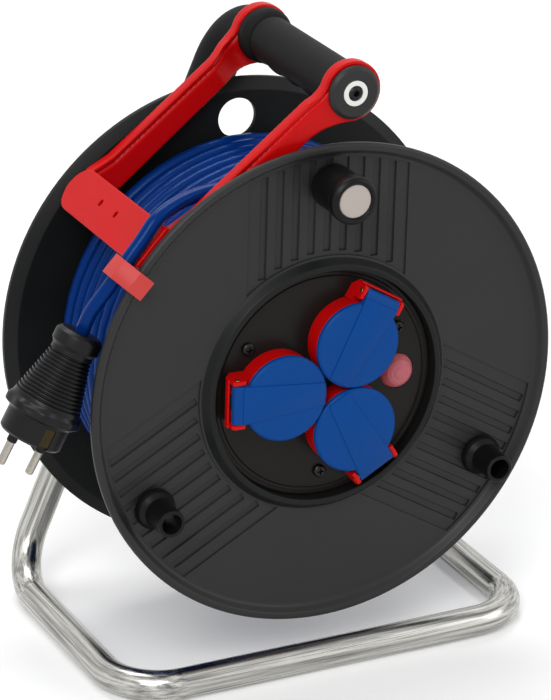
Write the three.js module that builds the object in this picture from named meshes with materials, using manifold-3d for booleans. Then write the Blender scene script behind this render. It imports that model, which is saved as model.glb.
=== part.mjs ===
// An extension cord reel: a cable drum with three covered sockets, turning on a spindle that a
// bent steel tube carries, with a grip over the drum, a hinged cable guide and a plug.
// Millimetres, +Z up. The origin is on the floor, under the middle of the reel.
// Inside the group "reel" the drum's axis is the Y axis and the drum's front edge is y = 0.

import * as THREE from "three";
import { mergeVertices } from "three/addons/utils/BufferGeometryUtils.js";
import Module from "manifold-3d";

const wasm = await Module();
wasm.setup();

// ---- Driving dimensions ----

const GAP = 0.3; // between pieces that touch
const RUNNING_GAP = 0.5; // between pieces that turn past each other

// Cable
const CABLE_RADIUS = 4.3;
const TURN_SPACE = 0.65; // between one turn and the next along the drum
const CABLE_LAYERS_BELOW = 3.4; // layers of cable under the outer one
const LEAD_START_Y = 17; // where the outer layer leaves the drum

// Drum
const DRUM_RADIUS = 145;
const FLANGE_FACE = 5; // depth of the front flange's face behind its rim
const FLANGE_WALL = 3;
const RIM_WIDTH = 3;
const DRUM_INNER_WIDTH = 120; // between the two flanges
const BARREL_WALL = 2.9;
const RECESS_MARGIN = 10.4; // from a lid's hinge pin to the lip of the round pan
const RECESS_LIP = 3.3;
const DRUM_TURN = THREE.MathUtils.degToRad(1.5); // how far the drum has turned, clockwise
const RIB_PITCH = 10;
const RIB_GROOVE = 2.6;
const RIB_DEPTH = 1.2;
const LIFTING_HOLE_RADIUS = 12;
const REAR_RIB_INSET = 45; // from the rear flange's rim to the end of its ribs
const SCREW_COLUMN_RADIUS = 4.5;
const SCREW_COLUMN_LENGTH = 24;

// Knob and posts, evenly spaced on one circle
const CRANK_INSET = 24.5; // from the drum's edge to that circle
const KNOB_RADIUS = 14;
const KNOB_FRONT = 28; // how far the knob stands out in front of the rim
const KNOB_DISC_RADIUS = 9.7;
const SPINDLE_RADIUS = 4;
const POST_RADIUS = 8.2;
const POST_BORE = 6;
const POST_FRONT = 20;
const POST_COLLAR = 12;

// Sockets
const SOCKET_COUNT = 3;
const SOCKET_WELL = 19.7;
const SOCKET_WALL = 3.8;
const SOCKET_RIM_WALL = 5.1;
const LID_OVERHANG = 5.9; // from the well's wall to the lid's edge
const LID_SPACE = 0.415; // between two lids
const WELL_DEPTH = 17.5;
const PLATE_DEPTH = 7; // socket plate's face behind the drum's front edge
const PLATE_WALL = 3;
const SOCKET_FRONT = 5.5; // socket rim's height in front of the drum's front edge
const PIN_PITCH = 19;
const LID_WALL = 3.3;
const LID_TAB = 23; // width of the lid's hinge tab
const STRAP_FRONT = 0.6; // how far the lid's raised panel stands out
const STRAP_WIDTH = 23;
const STRAP_TIP = 13.6;
const HINGE_REACH = 3.7; // from the lid's edge to its hinge pin
const HINGE_PIN_RADIUS = 1.2;
const EAR_WALL = 2.6;
const EAR_REACH = 3.6; // from the hinge pin to the outer side of its ears
const EAR_INNER_REACH = 5.1; // and to their inner side, which the opening lid passes
const KNUCKLE_RADIUS = 3;
const LEAF_WALL = 0.6;
const LEAF_WIDTH = 8;
const PLATE_SCREW_INSET = 14.8; // from the plate's edge to its screws
const BUTTON_INSET = 21.5;
const BUTTON_RADIUS = 10.4;
const BUTTON_FRONT = 5.5; // how far the button stands out from the plate
const BUTTON_STEM = 2.5;
const BUSBAR_HALF_WIDTH = 2;
const BUSBAR_WALL = 1.2;
const BUSBAR_STANDOFF = 3;
const CONTACT_RADIUS = 2.5;

// Stand and grip
const TUBE_RADIUS = 9;
const TUBE_WALL = 1.5;
const STAND_HALF_WIDTH = 129; // to the tube's centre line
const STAND_FRONT = -9; // y of the front bar's centre line
const STAND_BEHIND = 29.1; // from the drum's rear edge to the legs' centre lines
const FLOOR_CLEARANCE = 28.2; // under the drum
const FLOOR_BEND = 34;
const TOP_BEND = 30;
const GRIP_X = 19;
const GRIP_CLEARANCE = 26.2; // from the drum's edge up to the grip's axis
const GRIP_RADIUS = 13.5;
const JOURNAL_RADIUS = 12;
const COLLAR_RADIUS = 16.5;
const BEND_SLEEVE_RADIUS = 13.6;
const FINGER_WAVE = 2.4;
const FINGER_PITCH = 22;
const BEND_SLEEVE_DROP = 46; // how far the sleeve runs down the leg
const CAP_RADIUS = 15.5;
const CAP_WALL = 3.5;
const CAP_SPIGOT = 15;
const CAP_SCREW_RADIUS = 2;
const CAP_SCREW_HEAD = 4.5;
const CAP_WASHER_RADIUS = 7.7;

// Bearing
const AXLE_RADIUS = 10;
const AXLE_SHOULDER = 15;
const BUSH_WALL = 1.7;
const SLEEVE_WALL = 3.7;
const SLEEVE_LENGTH = 66;
const BRACKET_BEHIND = 16.7; // from the legs' centre lines to the bracket's rear face
const BRACKET_AHEAD = 15.3;
const BRACKET_HALF_HEIGHT = 32;
const BRACKET_CORNER = 14;
const BRACKET_SCREW_X = 33;
const NUT_RADIUS = 16;

// Cable guide
const GUIDE_WALL = 7.5; // width of each arm along the drum's axis
const GUIDE_RING = 17.6;
const RING_SETBACK = 8; // how far the far arm's ring lies behind the arm
const GUIDE_INSET = 1.6; // from the drum's edge to the outer face of the cross plate
const GUIDE_PLATE_WALL = 4;
const GUIDE_PLATE_WIDTH = 28;
const GUIDE_TURN = THREE.MathUtils.degToRad(136.75); // where the cross plate lies round the drum
const CLIP_WALL = 2;
const CLIP_WIDTH = 12.6;

// Plug
const PLUG_LENGTH = 67;
const PLUG_COLLAR = 14;
const PLUG_SKIRT = 22.5;
const PLUG_FACE = 18.5;
const PLUG_PIN_RADIUS = 2.4;
const PLUG_PIN_LENGTH = 19;

const ROUND = 32; // sides of the drum's large circles
const MEDIUM_ROUND = 18;
const SMALL_ROUND = 16;
const TINY_ROUND = 8;

// ---- Places worked out from the dimensions ----

const FLANGE_BACK = FLANGE_FACE + FLANGE_WALL;
const REAR_FACE = FLANGE_BACK + DRUM_INNER_WIDTH;
const REAR_DISC = REAR_FACE + FLANGE_WALL;
const REAR_RIM = REAR_DISC + FLANGE_FACE + 0.2;
const STAND_REAR = REAR_RIM + STAND_BEHIND; // y of the legs' centre lines
const BRACKET_REAR = STAND_REAR + BRACKET_BEHIND; // the reel's rearmost place
const BRACKET_FRONT = STAND_REAR - BRACKET_AHEAD;
const MIDDLE = (BRACKET_REAR - KNOB_FRONT) / 2;
const AXLE_HEIGHT = DRUM_RADIUS + FLOOR_CLEARANCE; // drum axis above the floor
const GRIP_HEIGHT = DRUM_RADIUS + GRIP_CLEARANCE; // above the drum's axis
const CRANK_RADIUS = DRUM_RADIUS - CRANK_INSET;
const GUIDE_SURFACE = DRUM_RADIUS - GUIDE_INSET;
const SOCKET_BODY = SOCKET_WELL + SOCKET_WALL;
const SOCKET_RIM = SOCKET_WELL + SOCKET_RIM_WALL;
const LID_RADIUS = SOCKET_WELL + LID_OVERHANG;
const HINGE_OFFSET = LID_RADIUS + HINGE_REACH; // socket axis to hinge pin
// From the drum's axis to each socket's axis.
const SOCKET_CIRCLE = (LID_RADIUS + LID_SPACE / 2) / Math.sin(Math.PI / SOCKET_COUNT);
const RECESS_RADIUS = SOCKET_CIRCLE + HINGE_OFFSET + RECESS_MARGIN;
const PLATE_SCREW_CIRCLE = RECESS_RADIUS - PLATE_SCREW_INSET;
const BUTTON_OFFSET = RECESS_RADIUS - BUTTON_INSET;
const BARREL_RADIUS = RECESS_RADIUS + RECESS_LIP + GAP + BARREL_WALL;
const BARREL_BORE = BARREL_RADIUS - BARREL_WALL;
const PAN_RADIUS = BARREL_BORE - GAP;
const PLATE_BACK = PLATE_DEPTH + PLATE_WALL;
const PAN_FLOOR = PLATE_BACK + GAP;
const WELL_FLOOR = WELL_DEPTH - SOCKET_FRONT;
const SOCKET_BACK = WELL_FLOOR + 3;
const LID_BACK = -SOCKET_FRONT - RUNNING_GAP;
const LID_FRONT = LID_BACK - LID_WALL;
const HINGE_DEPTH = LID_BACK + 0.7;
const CORE_RADIUS = BARREL_RADIUS + CABLE_LAYERS_BELOW * 2 * CABLE_RADIUS;
const WINDING_RADIUS = CORE_RADIUS + CABLE_RADIUS + GAP;
const CABLE_PITCH = 2 * CABLE_RADIUS + TURN_SPACE;
const TURN_ROOM = REAR_FACE - GAP - CABLE_RADIUS - LEAD_START_Y;
const CABLE_LOOPS = Math.floor((2 * TURN_ROOM) / CABLE_PITCH) / 2;
const LEAD_OVER_PLATE = GUIDE_SURFACE + CABLE_RADIUS + 2 * GAP;
const PLUG_CIRCLE = DRUM_RADIUS + PLUG_SKIRT - 16.67;
const BUSH_RADIUS = AXLE_RADIUS + GAP + BUSH_WALL;
const SLEEVE_BORE = BUSH_RADIUS + GAP;
const SLEEVE_FRONT = REAR_RIM - SLEEVE_LENGTH;
const ARM_FRONT = FLANGE_BACK + RUNNING_GAP + 0.5;
const ARM_FRONT_BACK = ARM_FRONT + GUIDE_WALL;
const ARM_REAR_BACK = REAR_FACE - 2;
const ARM_REAR = ARM_REAR_BACK - GUIDE_WALL;
const RING_REAR = ARM_REAR + RING_SETBACK;
const RING_REAR_BACK = ARM_REAR_BACK + RING_SETBACK;
const FLOOR_BAR = TUBE_RADIUS - AXLE_HEIGHT;
const LEG_LEAN = (GRIP_X + STAND_HALF_WIDTH) / (GRIP_HEIGHT - FLOOR_BAR);
const legX = (z) => GRIP_X - (GRIP_HEIGHT - z) * LEG_LEAN; // the left leg's centre line
const BRACKET_SPLIT = STAND_REAR;
const SPINDLE_HEAD = SPINDLE_RADIUS + 2.8;
const RIGHT_LEG_TOP = BRACKET_HALF_HEIGHT - 12;
const FLANGE_SCREW_CIRCLE = PAN_RADIUS - 8.8;

// ---- Materials ----

const finish = (color, roughness, metalness = 0) =>
  new THREE.MeshStandardMaterial({ color, roughness, metalness });
const BLACK_PLASTIC = finish(0x2b2b2b, 0.55);
const BLACK_RUBBER = finish(0x1f1f1f, 0.8);
const RED_PLASTIC = finish(0xd4161c, 0.4);
const PALE_RED_PLASTIC = finish(0xe8433f, 0.45);
const BLUE_PLASTIC = finish(0x0d4a94, 0.45);
const BLUE_JACKET = finish(0x123f8c, 0.4);
const PINK_RUBBER = finish(0xd5727c, 0.3);
const WHITE_PLASTIC = finish(0xe9e9e6, 0.5);
const SILVER_PLASTIC = finish(0xb9b6b0, 0.35, 0.2);
const GALVANISED_STEEL = finish(0xb4b6b5, 0.32, 1);
const DARK_STEEL = finish(0x3a3a3a, 0.4, 0.9);
const BRASS = finish(0xb9974a, 0.35, 1);

// ---- Geometry helpers ----

// Merges shared corners, drops empty triangles and turns the faces outwards.
function closed(geometry) {
  const bare = new THREE.BufferGeometry();
  bare.setAttribute("position", geometry.getAttribute("position"));
  if (geometry.getIndex()) bare.setIndex(geometry.getIndex());
  const merged = mergeVertices(bare, 1e-4);
  const corners = merged.getIndex().array;
  const triangles = [];
  for (let i = 0; i < corners.length; i += 3) {
    const [a, b, c] = [corners[i], corners[i + 1], corners[i + 2]];
    if (a !== b && b !== c && c !== a) triangles.push([a, b, c]);
  }
  const at = (i) => new THREE.Vector3().fromBufferAttribute(merged.getAttribute("position"), i);
  let volume = 0;
  for (const [a, b, c] of triangles) volume += at(a).dot(at(b).cross(at(c)));
  const facing = volume < 0 ? triangles.map(([a, b, c]) => [a, c, b]) : triangles;
  merged.setIndex(facing.flat());
  return merged;
}

function toSolid(geometry) {
  const merged = closed(geometry);
  const vertProperties = new Float32Array(merged.getAttribute("position").array);
  const triVerts = new Uint32Array(merged.getIndex().array);
  return new wasm.Manifold(new wasm.Mesh({ numProp: 3, vertProperties, triVerts }));
}

function toGeometry(solid) {
  const mesh = solid.getMesh();
  const geometry = new THREE.BufferGeometry();
  geometry.setAttribute("position", new THREE.BufferAttribute(mesh.vertProperties, 3));
  geometry.setIndex(new THREE.BufferAttribute(mesh.triVerts, 1));
  return geometry;
}

const joined = (...parts) => toGeometry(parts.map(toSolid).reduce((a, b) => a.add(b)));
const without = (part, cuts) => toGeometry(cuts.reduce((a, b) => a.subtract(toSolid(b)), toSolid(part)));

// A solid turned about the Y axis. Each profile point is [radius, y].
function turned(profile, sides = SMALL_ROUND) {
  const points = profile.map(([radius, y]) => new THREE.Vector2(radius, y));
  const first = points[0];
  const last = points[points.length - 1];
  if (first.x > 0 || last.x > 0) points.push(first.clone());
  return closed(new THREE.LatheGeometry(points, sides));
}

// A round rod or tube along Y, from y = from to y = to.
function rod(radius, from, to, sides = SMALL_ROUND) {
  return turned([[0, from], [radius, from], [radius, to], [0, to]], sides);
}

function ring(inner, outer, from, to, sides = SMALL_ROUND) {
  return turned([[inner, from], [outer, from], [outer, to], [inner, to]], sides);
}

// A box from its two opposite corners.
function block([x0, y0, z0], [x1, y1, z1]) {
  const box = new THREE.BoxGeometry(x1 - x0, y1 - y0, z1 - z0);
  return box.translate((x0 + x1) / 2, (y0 + y1) / 2, (z0 + z1) / 2);
}

// An outline drawn in X and Z, made solid from y = from to y = to.
function slab(shape, from, to, curveSegments = 8) {
  const options = { depth: to - from, bevelEnabled: false, curveSegments };
  return new THREE.ExtrudeGeometry(shape, options).rotateX(Math.PI / 2).translate(0, to, 0);
}

const around = (radius, angle, y = 0) =>
  new THREE.Vector3(radius * Math.cos(angle), y, radius * Math.sin(angle));

// A path of straight runs joined by round bends, with its stations only where they are needed.
class BentPath extends THREE.Curve {
  constructor(corners, bends, stepsPerBend) {
    super();
    this.stations = [];
    const add = (point, heading) => this.stations.push({ point, heading });
    add(corners[0], corners[1].clone().sub(corners[0]).normalize());
    for (let i = 1; i < corners.length - 1; i += 1) {
      const back = corners[i - 1].clone().sub(corners[i]).normalize();
      const ahead = corners[i + 1].clone().sub(corners[i]).normalize();
      const turn = Math.PI - back.angleTo(ahead);
      const reach = bends[i - 1] * Math.tan(turn / 2);
      const start = corners[i].clone().addScaledVector(back, reach);
      const heading = back.clone().negate();
      const axis = heading.clone().cross(ahead).normalize();
      const centre = start.clone().addScaledVector(axis.clone().cross(heading), bends[i - 1]);
      for (let k = 0; k <= stepsPerBend; k += 1) {
        const part = (turn * k) / stepsPerBend;
        const spoke = start.clone().sub(centre).applyAxisAngle(axis, part);
        add(centre.clone().add(spoke), heading.clone().applyAxisAngle(axis, part));
      }
    }
    const end = corners[corners.length - 1];
    add(end, end.clone().sub(corners[corners.length - 2]).normalize());
  }

  get steps() {
    return this.stations.length - 1;
  }

  getPointAt(u) {
    return this.stations[Math.round(u * this.steps)].point.clone();
  }

  getTangentAt(u) {
    return this.stations[Math.round(u * this.steps)].heading.clone();
  }
}

// A tube of the given radius along a bent path, with a bore if one is given. The turn sets where
// the corners of its section lie.
function tubeAlong(path, radius, bore = 0, sides = 12, turn = 0) {
  const section = polygon(radius, sides, turn);
  if (bore) section.holes.push(polygon(bore, sides - 2, turn));
  const options = { extrudePath: path, steps: path.steps, bevelEnabled: false };
  return closed(new THREE.ExtrudeGeometry(section, options));
}

// The corner radius of a faceted bore whose flats clear a round piece of the given radius.
const boreRound = (radius, sides) => (radius + GAP) / Math.cos(Math.PI / sides);

// A circle as an outline with the given number of sides.
function polygon(radius, sides, turn = 0) {
  const points = [];
  for (let i = 0; i < sides; i += 1) {
    const angle = turn + (i * 2 * Math.PI) / sides;
    points.push(new THREE.Vector2(radius * Math.cos(angle), radius * Math.sin(angle)));
  }
  return new THREE.Shape(points);
}

// ---- The assembly ----

const reel = new THREE.Group();
reel.position.set(0, -MIDDLE, AXLE_HEIGHT);
const drum = new THREE.Group();
drum.rotation.y = DRUM_TURN;
reel.add(drum);
const plug = new THREE.Group();
reel.add(plug);

function add(parent, name, geometry, material) {
  const mesh = new THREE.Mesh(geometry, material);
  mesh.name = name;
  parent.add(mesh);
  return mesh;
}

// ---- Stand ----

function standPath() {
  const { x: left, y: rear, z: floor } = new THREE.Vector3(-STAND_HALF_WIDTH, STAND_REAR, FLOOR_BAR);
  const corners = [
    new THREE.Vector3(GRIP_X, ARM_FRONT + GAP, GRIP_HEIGHT),
    new THREE.Vector3(GRIP_X, rear, GRIP_HEIGHT),
    new THREE.Vector3(left, rear, floor),
    new THREE.Vector3(left, STAND_FRONT, floor),
    new THREE.Vector3(-left, STAND_FRONT, floor),
    new THREE.Vector3(-left, rear, floor),
    new THREE.Vector3(-legX(RIGHT_LEG_TOP), rear, RIGHT_LEG_TOP),
  ];
  return new BentPath(corners, [TOP_BEND, FLOOR_BEND, FLOOR_BEND, FLOOR_BEND, FLOOR_BEND], 4);
}

function legPath(side, top) {
  const low = -2 * BRACKET_HALF_HEIGHT;
  const foot = new THREE.Vector3(side * -legX(low), STAND_REAR, low);
  return new BentPath([foot, new THREE.Vector3(side * -legX(top), STAND_REAR, top)], [], 0);
}

function addStand() {
  // This turn lays a corner of the tube's section on the floor.
  const turn = -2 * Math.atan(LEG_LEAN);
  const tube = tubeAlong(standPath(), TUBE_RADIUS, TUBE_RADIUS - TUBE_WALL, 12, turn);
  add(reel, "frame_tube", tube, GALVANISED_STEEL);
}

function bracketShape() {
  const low = -legX(-BRACKET_HALF_HEIGHT) + TUBE_RADIUS + 12;
  const high = low - 20;
  const corner = BRACKET_CORNER;
  const shape = new THREE.Shape();
  shape.moveTo(-low + corner, -BRACKET_HALF_HEIGHT);
  shape.lineTo(low - corner, -BRACKET_HALF_HEIGHT);
  shape.quadraticCurveTo(low, -BRACKET_HALF_HEIGHT, low - 4, -BRACKET_HALF_HEIGHT + corner);
  shape.lineTo(high + 4, BRACKET_HALF_HEIGHT - corner);
  shape.quadraticCurveTo(high, BRACKET_HALF_HEIGHT, high - corner, BRACKET_HALF_HEIGHT);
  shape.lineTo(-high + corner, BRACKET_HALF_HEIGHT);
  shape.quadraticCurveTo(-high, BRACKET_HALF_HEIGHT, -high - 4, BRACKET_HALF_HEIGHT - corner);
  shape.lineTo(-low + 4, -BRACKET_HALF_HEIGHT + corner);
  shape.quadraticCurveTo(-low, -BRACKET_HALF_HEIGHT, -low + corner, -BRACKET_HALF_HEIGHT);
  return shape;
}

function addBearingBracket() {
  const tunnelRadius = boreRound(TUBE_RADIUS, 12);
  const tunnels = [
    tubeAlong(legPath(-1, BRACKET_HALF_HEIGHT + 30), tunnelRadius),
    tubeAlong(legPath(1, RIGHT_LEG_TOP + GAP), tunnelRadius),
  ];
  const screwHoles = [-1, 1].map((side) =>
    rod(2.5 + GAP, BRACKET_FRONT + 4, BRACKET_REAR + 1, TINY_ROUND).translate(side * BRACKET_SCREW_X, 0, 0));
  const headHoles = [-1, 1].map((side) =>
    rod(5 + GAP, BRACKET_REAR - 4, BRACKET_REAR + 1, TINY_ROUND).translate(side * BRACKET_SCREW_X, 0, 0));
  const axleHole = rod(AXLE_RADIUS + GAP, BRACKET_FRONT - 1, BRACKET_REAR + 1, SMALL_ROUND);
  const nutHole = rod(NUT_RADIUS + 2, BRACKET_REAR - 8, BRACKET_REAR + 1, SMALL_ROUND);
  const front = slab(bracketShape(), BRACKET_FRONT, BRACKET_SPLIT - GAP / 2, 4);
  const cover = slab(bracketShape(), BRACKET_SPLIT + GAP / 2, BRACKET_REAR, 4);
  const cuts = [...tunnels, ...screwHoles, axleHole];
  add(reel, "bearing_bracket", without(front, cuts), BLACK_PLASTIC);
  add(reel, "bracket_cover", without(cover, [...cuts, ...headHoles, nutHole]), BLACK_PLASTIC);
  [-1, 1].forEach((side, i) => {
    const profile = [
      [0, BRACKET_FRONT + 4 + GAP],
      [2.5, BRACKET_FRONT + 4 + GAP],
      [2.5, BRACKET_REAR - 4 + GAP],
      [5, BRACKET_REAR - 4 + GAP],
      [5, BRACKET_REAR - 1],
      [0, BRACKET_REAR - 1],
    ];
    const screw = turned(profile, TINY_ROUND).translate(side * BRACKET_SCREW_X, 0, 0);
    add(reel, `bracket_screw_${i + 1}`, screw, DARK_STEEL);
  });
}

function addAxle() {
  const shoulderBack = BRACKET_FRONT - GAP;
  const shoulderFront = REAR_RIM + 2 + 2 * GAP;
  const clipY = SLEEVE_FRONT - GAP;
  const groove = AXLE_RADIUS - 1.3;
  const end = clipY - 5;
  const profile = [
    [0, end], [AXLE_RADIUS, end],
    [AXLE_RADIUS, clipY - 2 - GAP], [groove, clipY - 2 - GAP],
    [groove, clipY + GAP], [AXLE_RADIUS, clipY + GAP],
    [AXLE_RADIUS, shoulderFront], [AXLE_SHOULDER, shoulderFront],
    [AXLE_SHOULDER, shoulderBack], [AXLE_RADIUS, shoulderBack],
    [AXLE_RADIUS, BRACKET_REAR - 9 + GAP], [AXLE_RADIUS - 2, BRACKET_REAR - 8],
    [AXLE_RADIUS - 2, BRACKET_REAR - 0.5], [0, BRACKET_REAR - 0.5],
  ];
  add(reel, "axle", turned(profile), GALVANISED_STEEL);
  const clip = ring(groove + GAP, AXLE_RADIUS + 4, clipY - 2, clipY);
  const mouth = block([-3, clipY - 3, 0], [3, clipY + 1, -AXLE_RADIUS - 6]);
  add(reel, "axle_clip", without(clip, [mouth]), DARK_STEEL);
  const hexagon = rod(NUT_RADIUS, BRACKET_REAR - 8 + GAP, BRACKET_REAR - 1, 6);
  const nut = without(hexagon, [rod(AXLE_RADIUS - 2 + GAP, BRACKET_REAR - 9, BRACKET_REAR)]);
  add(reel, "axle_nut", nut, GALVANISED_STEEL);
}

// ---- Grip ----

const gripAt = (geometry) => geometry.translate(GRIP_X, 0, GRIP_HEIGHT);
const GRIP_FRONT = ARM_FRONT_BACK + GAP;
const GRIP_BACK = RING_REAR - GAP;

// The rubber grip. Its underside swells between the fingers.
function addGrip() {
  const sides = 12;
  const bore = boreRound(TUBE_RADIUS, sides);
  const collarFront = GRIP_BACK - 7;
  const rows = 15;
  const profile = [[bore, ARM_FRONT], [JOURNAL_RADIUS, ARM_FRONT], [JOURNAL_RADIUS, GRIP_FRONT]];
  const waveLength = collarFront - 3 - GRIP_FRONT;
  for (let i = 0; i <= rows; i += 1) profile.push([GRIP_RADIUS, GRIP_FRONT + (waveLength * i) / rows]);
  profile.push([COLLAR_RADIUS - 1.5, collarFront], [COLLAR_RADIUS, collarFront + 1.5]);
  profile.push([COLLAR_RADIUS, GRIP_BACK]);
  profile.push([JOURNAL_RADIUS, GRIP_BACK], [JOURNAL_RADIUS, RING_REAR_BACK + GAP]);
  profile.push([bore, RING_REAR_BACK + GAP]);
  const geometry = turned(profile, sides);
  const points = geometry.getAttribute("position");
  const point = new THREE.Vector3();
  for (let i = 0; i < points.count; i += 1) {
    point.fromBufferAttribute(points, i);
    const radius = Math.hypot(point.x, point.z);
    const along = (point.y - GRIP_FRONT) / waveLength;
    if (Math.abs(radius - GRIP_RADIUS) < 0.01 && along > 0.01 && along < 0.99 && point.z < 0) {
      const swell = (1 - Math.cos((2 * Math.PI * (point.y - GRIP_FRONT)) / FINGER_PITCH)) / 2;
      points.setZ(i, point.z * (1 + (FINGER_WAVE * swell) / GRIP_RADIUS));
    }
  }
  add(reel, "grip", gripAt(geometry), BLACK_RUBBER);
}

function addBendSleeve() {
  const start = new THREE.Vector3(GRIP_X, RING_REAR_BACK + 2 * GAP, GRIP_HEIGHT);
  const lowZ = GRIP_HEIGHT - BEND_SLEEVE_DROP;
  const corners = [
    start,
    new THREE.Vector3(GRIP_X, STAND_REAR, GRIP_HEIGHT),
    new THREE.Vector3(legX(lowZ), STAND_REAR, lowZ),
  ];
  const path = new BentPath(corners, [TOP_BEND], 4);
  const sleeve = tubeAlong(path, BEND_SLEEVE_RADIUS, boreRound(TUBE_RADIUS, 12), 14);
  add(reel, "bend_sleeve", sleeve, BLACK_PLASTIC);
}

function addGripCap() {
  const front = ARM_FRONT - GAP - CAP_WALL;
  const back = ARM_FRONT - GAP;
  const spigot = TUBE_RADIUS - TUBE_WALL - 2 * GAP;
  const screw = CAP_SCREW_RADIUS;
  const pocket = CAP_WASHER_RADIUS;
  const cap = turned([
    [screw + GAP, front + 1], [pocket, front + 1], [pocket, front],
    [CAP_RADIUS - 1.5, front], [CAP_RADIUS, front + 1.5], [CAP_RADIUS, back],
    [spigot, back], [spigot, back + CAP_SPIGOT], [screw + GAP, back + CAP_SPIGOT],
  ]);
  add(reel, "grip_cap", gripAt(cap), BLACK_PLASTIC);
  const washer = ring(CAP_SCREW_HEAD, pocket - GAP, front - 0.1, front + 1 - GAP);
  add(reel, "cap_washer", gripAt(washer), WHITE_PLASTIC);
  const head = CAP_SCREW_HEAD - GAP;
  const bolt = turned([
    [0, front + 0.6], [1.8, front + 0.6], [1.8, front - 0.4], [head - 0.8, front - 0.4],
    [head, front + 0.2], [head, front + 1 - GAP], [screw, front + 1 - GAP],
    [screw, back + CAP_SPIGOT - 1], [0, back + CAP_SPIGOT - 1],
  ], TINY_ROUND);
  add(reel, "cap_screw", gripAt(bolt), DARK_STEEL);
}

// ---- Cable guide ----

// Where the ring's neck meets the straight part of an arm, on its outer and its inner edge.
const NECK_OUTER = new THREE.Vector2(GRIP_X - 36.5, GRIP_HEIGHT - 10.6);
const NECK_INNER = new THREE.Vector2(GRIP_X - 28, GRIP_HEIGHT - 25.7);
const NECK_REACH = 38; // from the grip's axis to both

// Turns a point given across and out from the drum's axis at the guide's place into X and Z.
function guidePoint(across, out) {
  const outwards = around(out, GUIDE_TURN);
  return outwards.add(around(across, GUIDE_TURN + Math.PI / 2));
}

// The ring round the grip's journal and the neck that joins it to the straight part of an arm.
function guideNeckShape() {
  const shape = new THREE.Shape();
  shape.moveTo(GRIP_X, GRIP_HEIGHT - GUIDE_RING);
  shape.absarc(GRIP_X, GRIP_HEIGHT, GUIDE_RING, -Math.PI / 2, THREE.MathUtils.degToRad(165), false);
  shape.quadraticCurveTo(GRIP_X - 20.5, GRIP_HEIGHT - 0.6, NECK_OUTER.x + 9.5, NECK_OUTER.y + 7.3);
  shape.lineTo(NECK_OUTER.x, NECK_OUTER.y);
  shape.lineTo(NECK_INNER.x, NECK_INNER.y);
  shape.quadraticCurveTo(GRIP_X - 17.9, GRIP_HEIGHT - GUIDE_RING, GRIP_X, GRIP_HEIGHT - GUIDE_RING);
  const bore = JOURNAL_RADIUS + RUNNING_GAP;
  shape.holes.push(new THREE.Path().absarc(GRIP_X, GRIP_HEIGHT, bore, 0, 2 * Math.PI));
  return shape;
}

// The straight part of an arm, from inside the neck down to its foot under the plate.
function guideArmShape() {
  const half = GUIDE_PLATE_WIDTH / 2;
  const top = GUIDE_SURFACE - GUIDE_PLATE_WALL + 1;
  const corners = [
    new THREE.Vector2(NECK_OUTER.x + 0.8, NECK_OUTER.y + 0.6),
    guidePoint(-half - 12.6, GUIDE_SURFACE - 7.9), guidePoint(-half - 5.6, GUIDE_SURFACE - 5.6),
    guidePoint(-half + 0.5, GUIDE_SURFACE - 4.4), guidePoint(-half + 1, top),
    guidePoint(half - 6, top), guidePoint(half - 2.5, top - 1.5), guidePoint(half - 1, top - 5),
    guidePoint(-half - 2, GUIDE_SURFACE - 25),
    new THREE.Vector2(NECK_INNER.x + 0.8, NECK_INNER.y + 0.65),
  ];
  return new THREE.Shape(corners.map((corner) => new THREE.Vector2(corner.x, corner.z ?? corner.y)));
}

// An arm between two depths, with its ring set back behind the collar by the last argument.
function guideArm(from, to, setback) {
  const neck = slab(guideNeckShape(), from, to, 9);
  const points = neck.getAttribute("position");
  for (let i = 0; i < points.count; i += 1) {
    const reach = Math.hypot(points.getX(i) - GRIP_X, points.getZ(i) - GRIP_HEIGHT);
    const share = THREE.MathUtils.clamp((NECK_REACH - reach) / (NECK_REACH - GUIDE_RING - 1), 0, 1);
    points.setY(i, points.getY(i) + setback * share);
  }
  return toSolid(neck).add(toSolid(slab(guideArmShape(), from, to)));
}

// The cross plate with its rounded far end and two oblong holes, drawn as along the drum's axis
// and across the guide.
function guidePlate() {
  const half = GUIDE_PLATE_WIDTH / 2;
  const bend = ARM_REAR_BACK + 0.6 - half;
  const shape = new THREE.Shape();
  shape.moveTo(ARM_FRONT, -half);
  shape.lineTo(bend, -half);
  shape.absarc(bend, 0, half, -Math.PI / 2, Math.PI / 2, false);
  shape.lineTo(ARM_FRONT, half);
  for (let i = 0; i < 2; i += 1) {
    const middle = MIDDLE + 6 - 21 * i;
    shape.holes.push(new THREE.Path().absellipse(middle, -2, 1.1, 2.25, 0, 2 * Math.PI));
  }
  const options = { depth: GUIDE_PLATE_WALL, bevelEnabled: false, curveSegments: 8 };
  const plate = new THREE.ExtrudeGeometry(shape, options);
  plate.translate(0, 0, GUIDE_SURFACE - GUIDE_PLATE_WALL);
  const axes = new THREE.Matrix4().makeBasis(
    new THREE.Vector3(0, 1, 0), around(1, GUIDE_TURN + Math.PI / 2), around(1, GUIDE_TURN));
  return plate.applyMatrix4(axes);
}

function addCableGuide() {
  const front = guideArm(ARM_FRONT, ARM_FRONT_BACK, 0);
  const rear = guideArm(ARM_REAR, ARM_REAR_BACK, RING_SETBACK);
  const collarRoom = rod(COLLAR_RADIUS + RUNNING_GAP, ARM_REAR - 5, RING_REAR, MEDIUM_ROUND);
  const cleared = rear.subtract(toSolid(gripAt(collarRoom)));
  const body = toSolid(guidePlate()).add(front).add(cleared);
  add(reel, "cable_guide", toGeometry(body), RED_PLASTIC);
}

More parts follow.
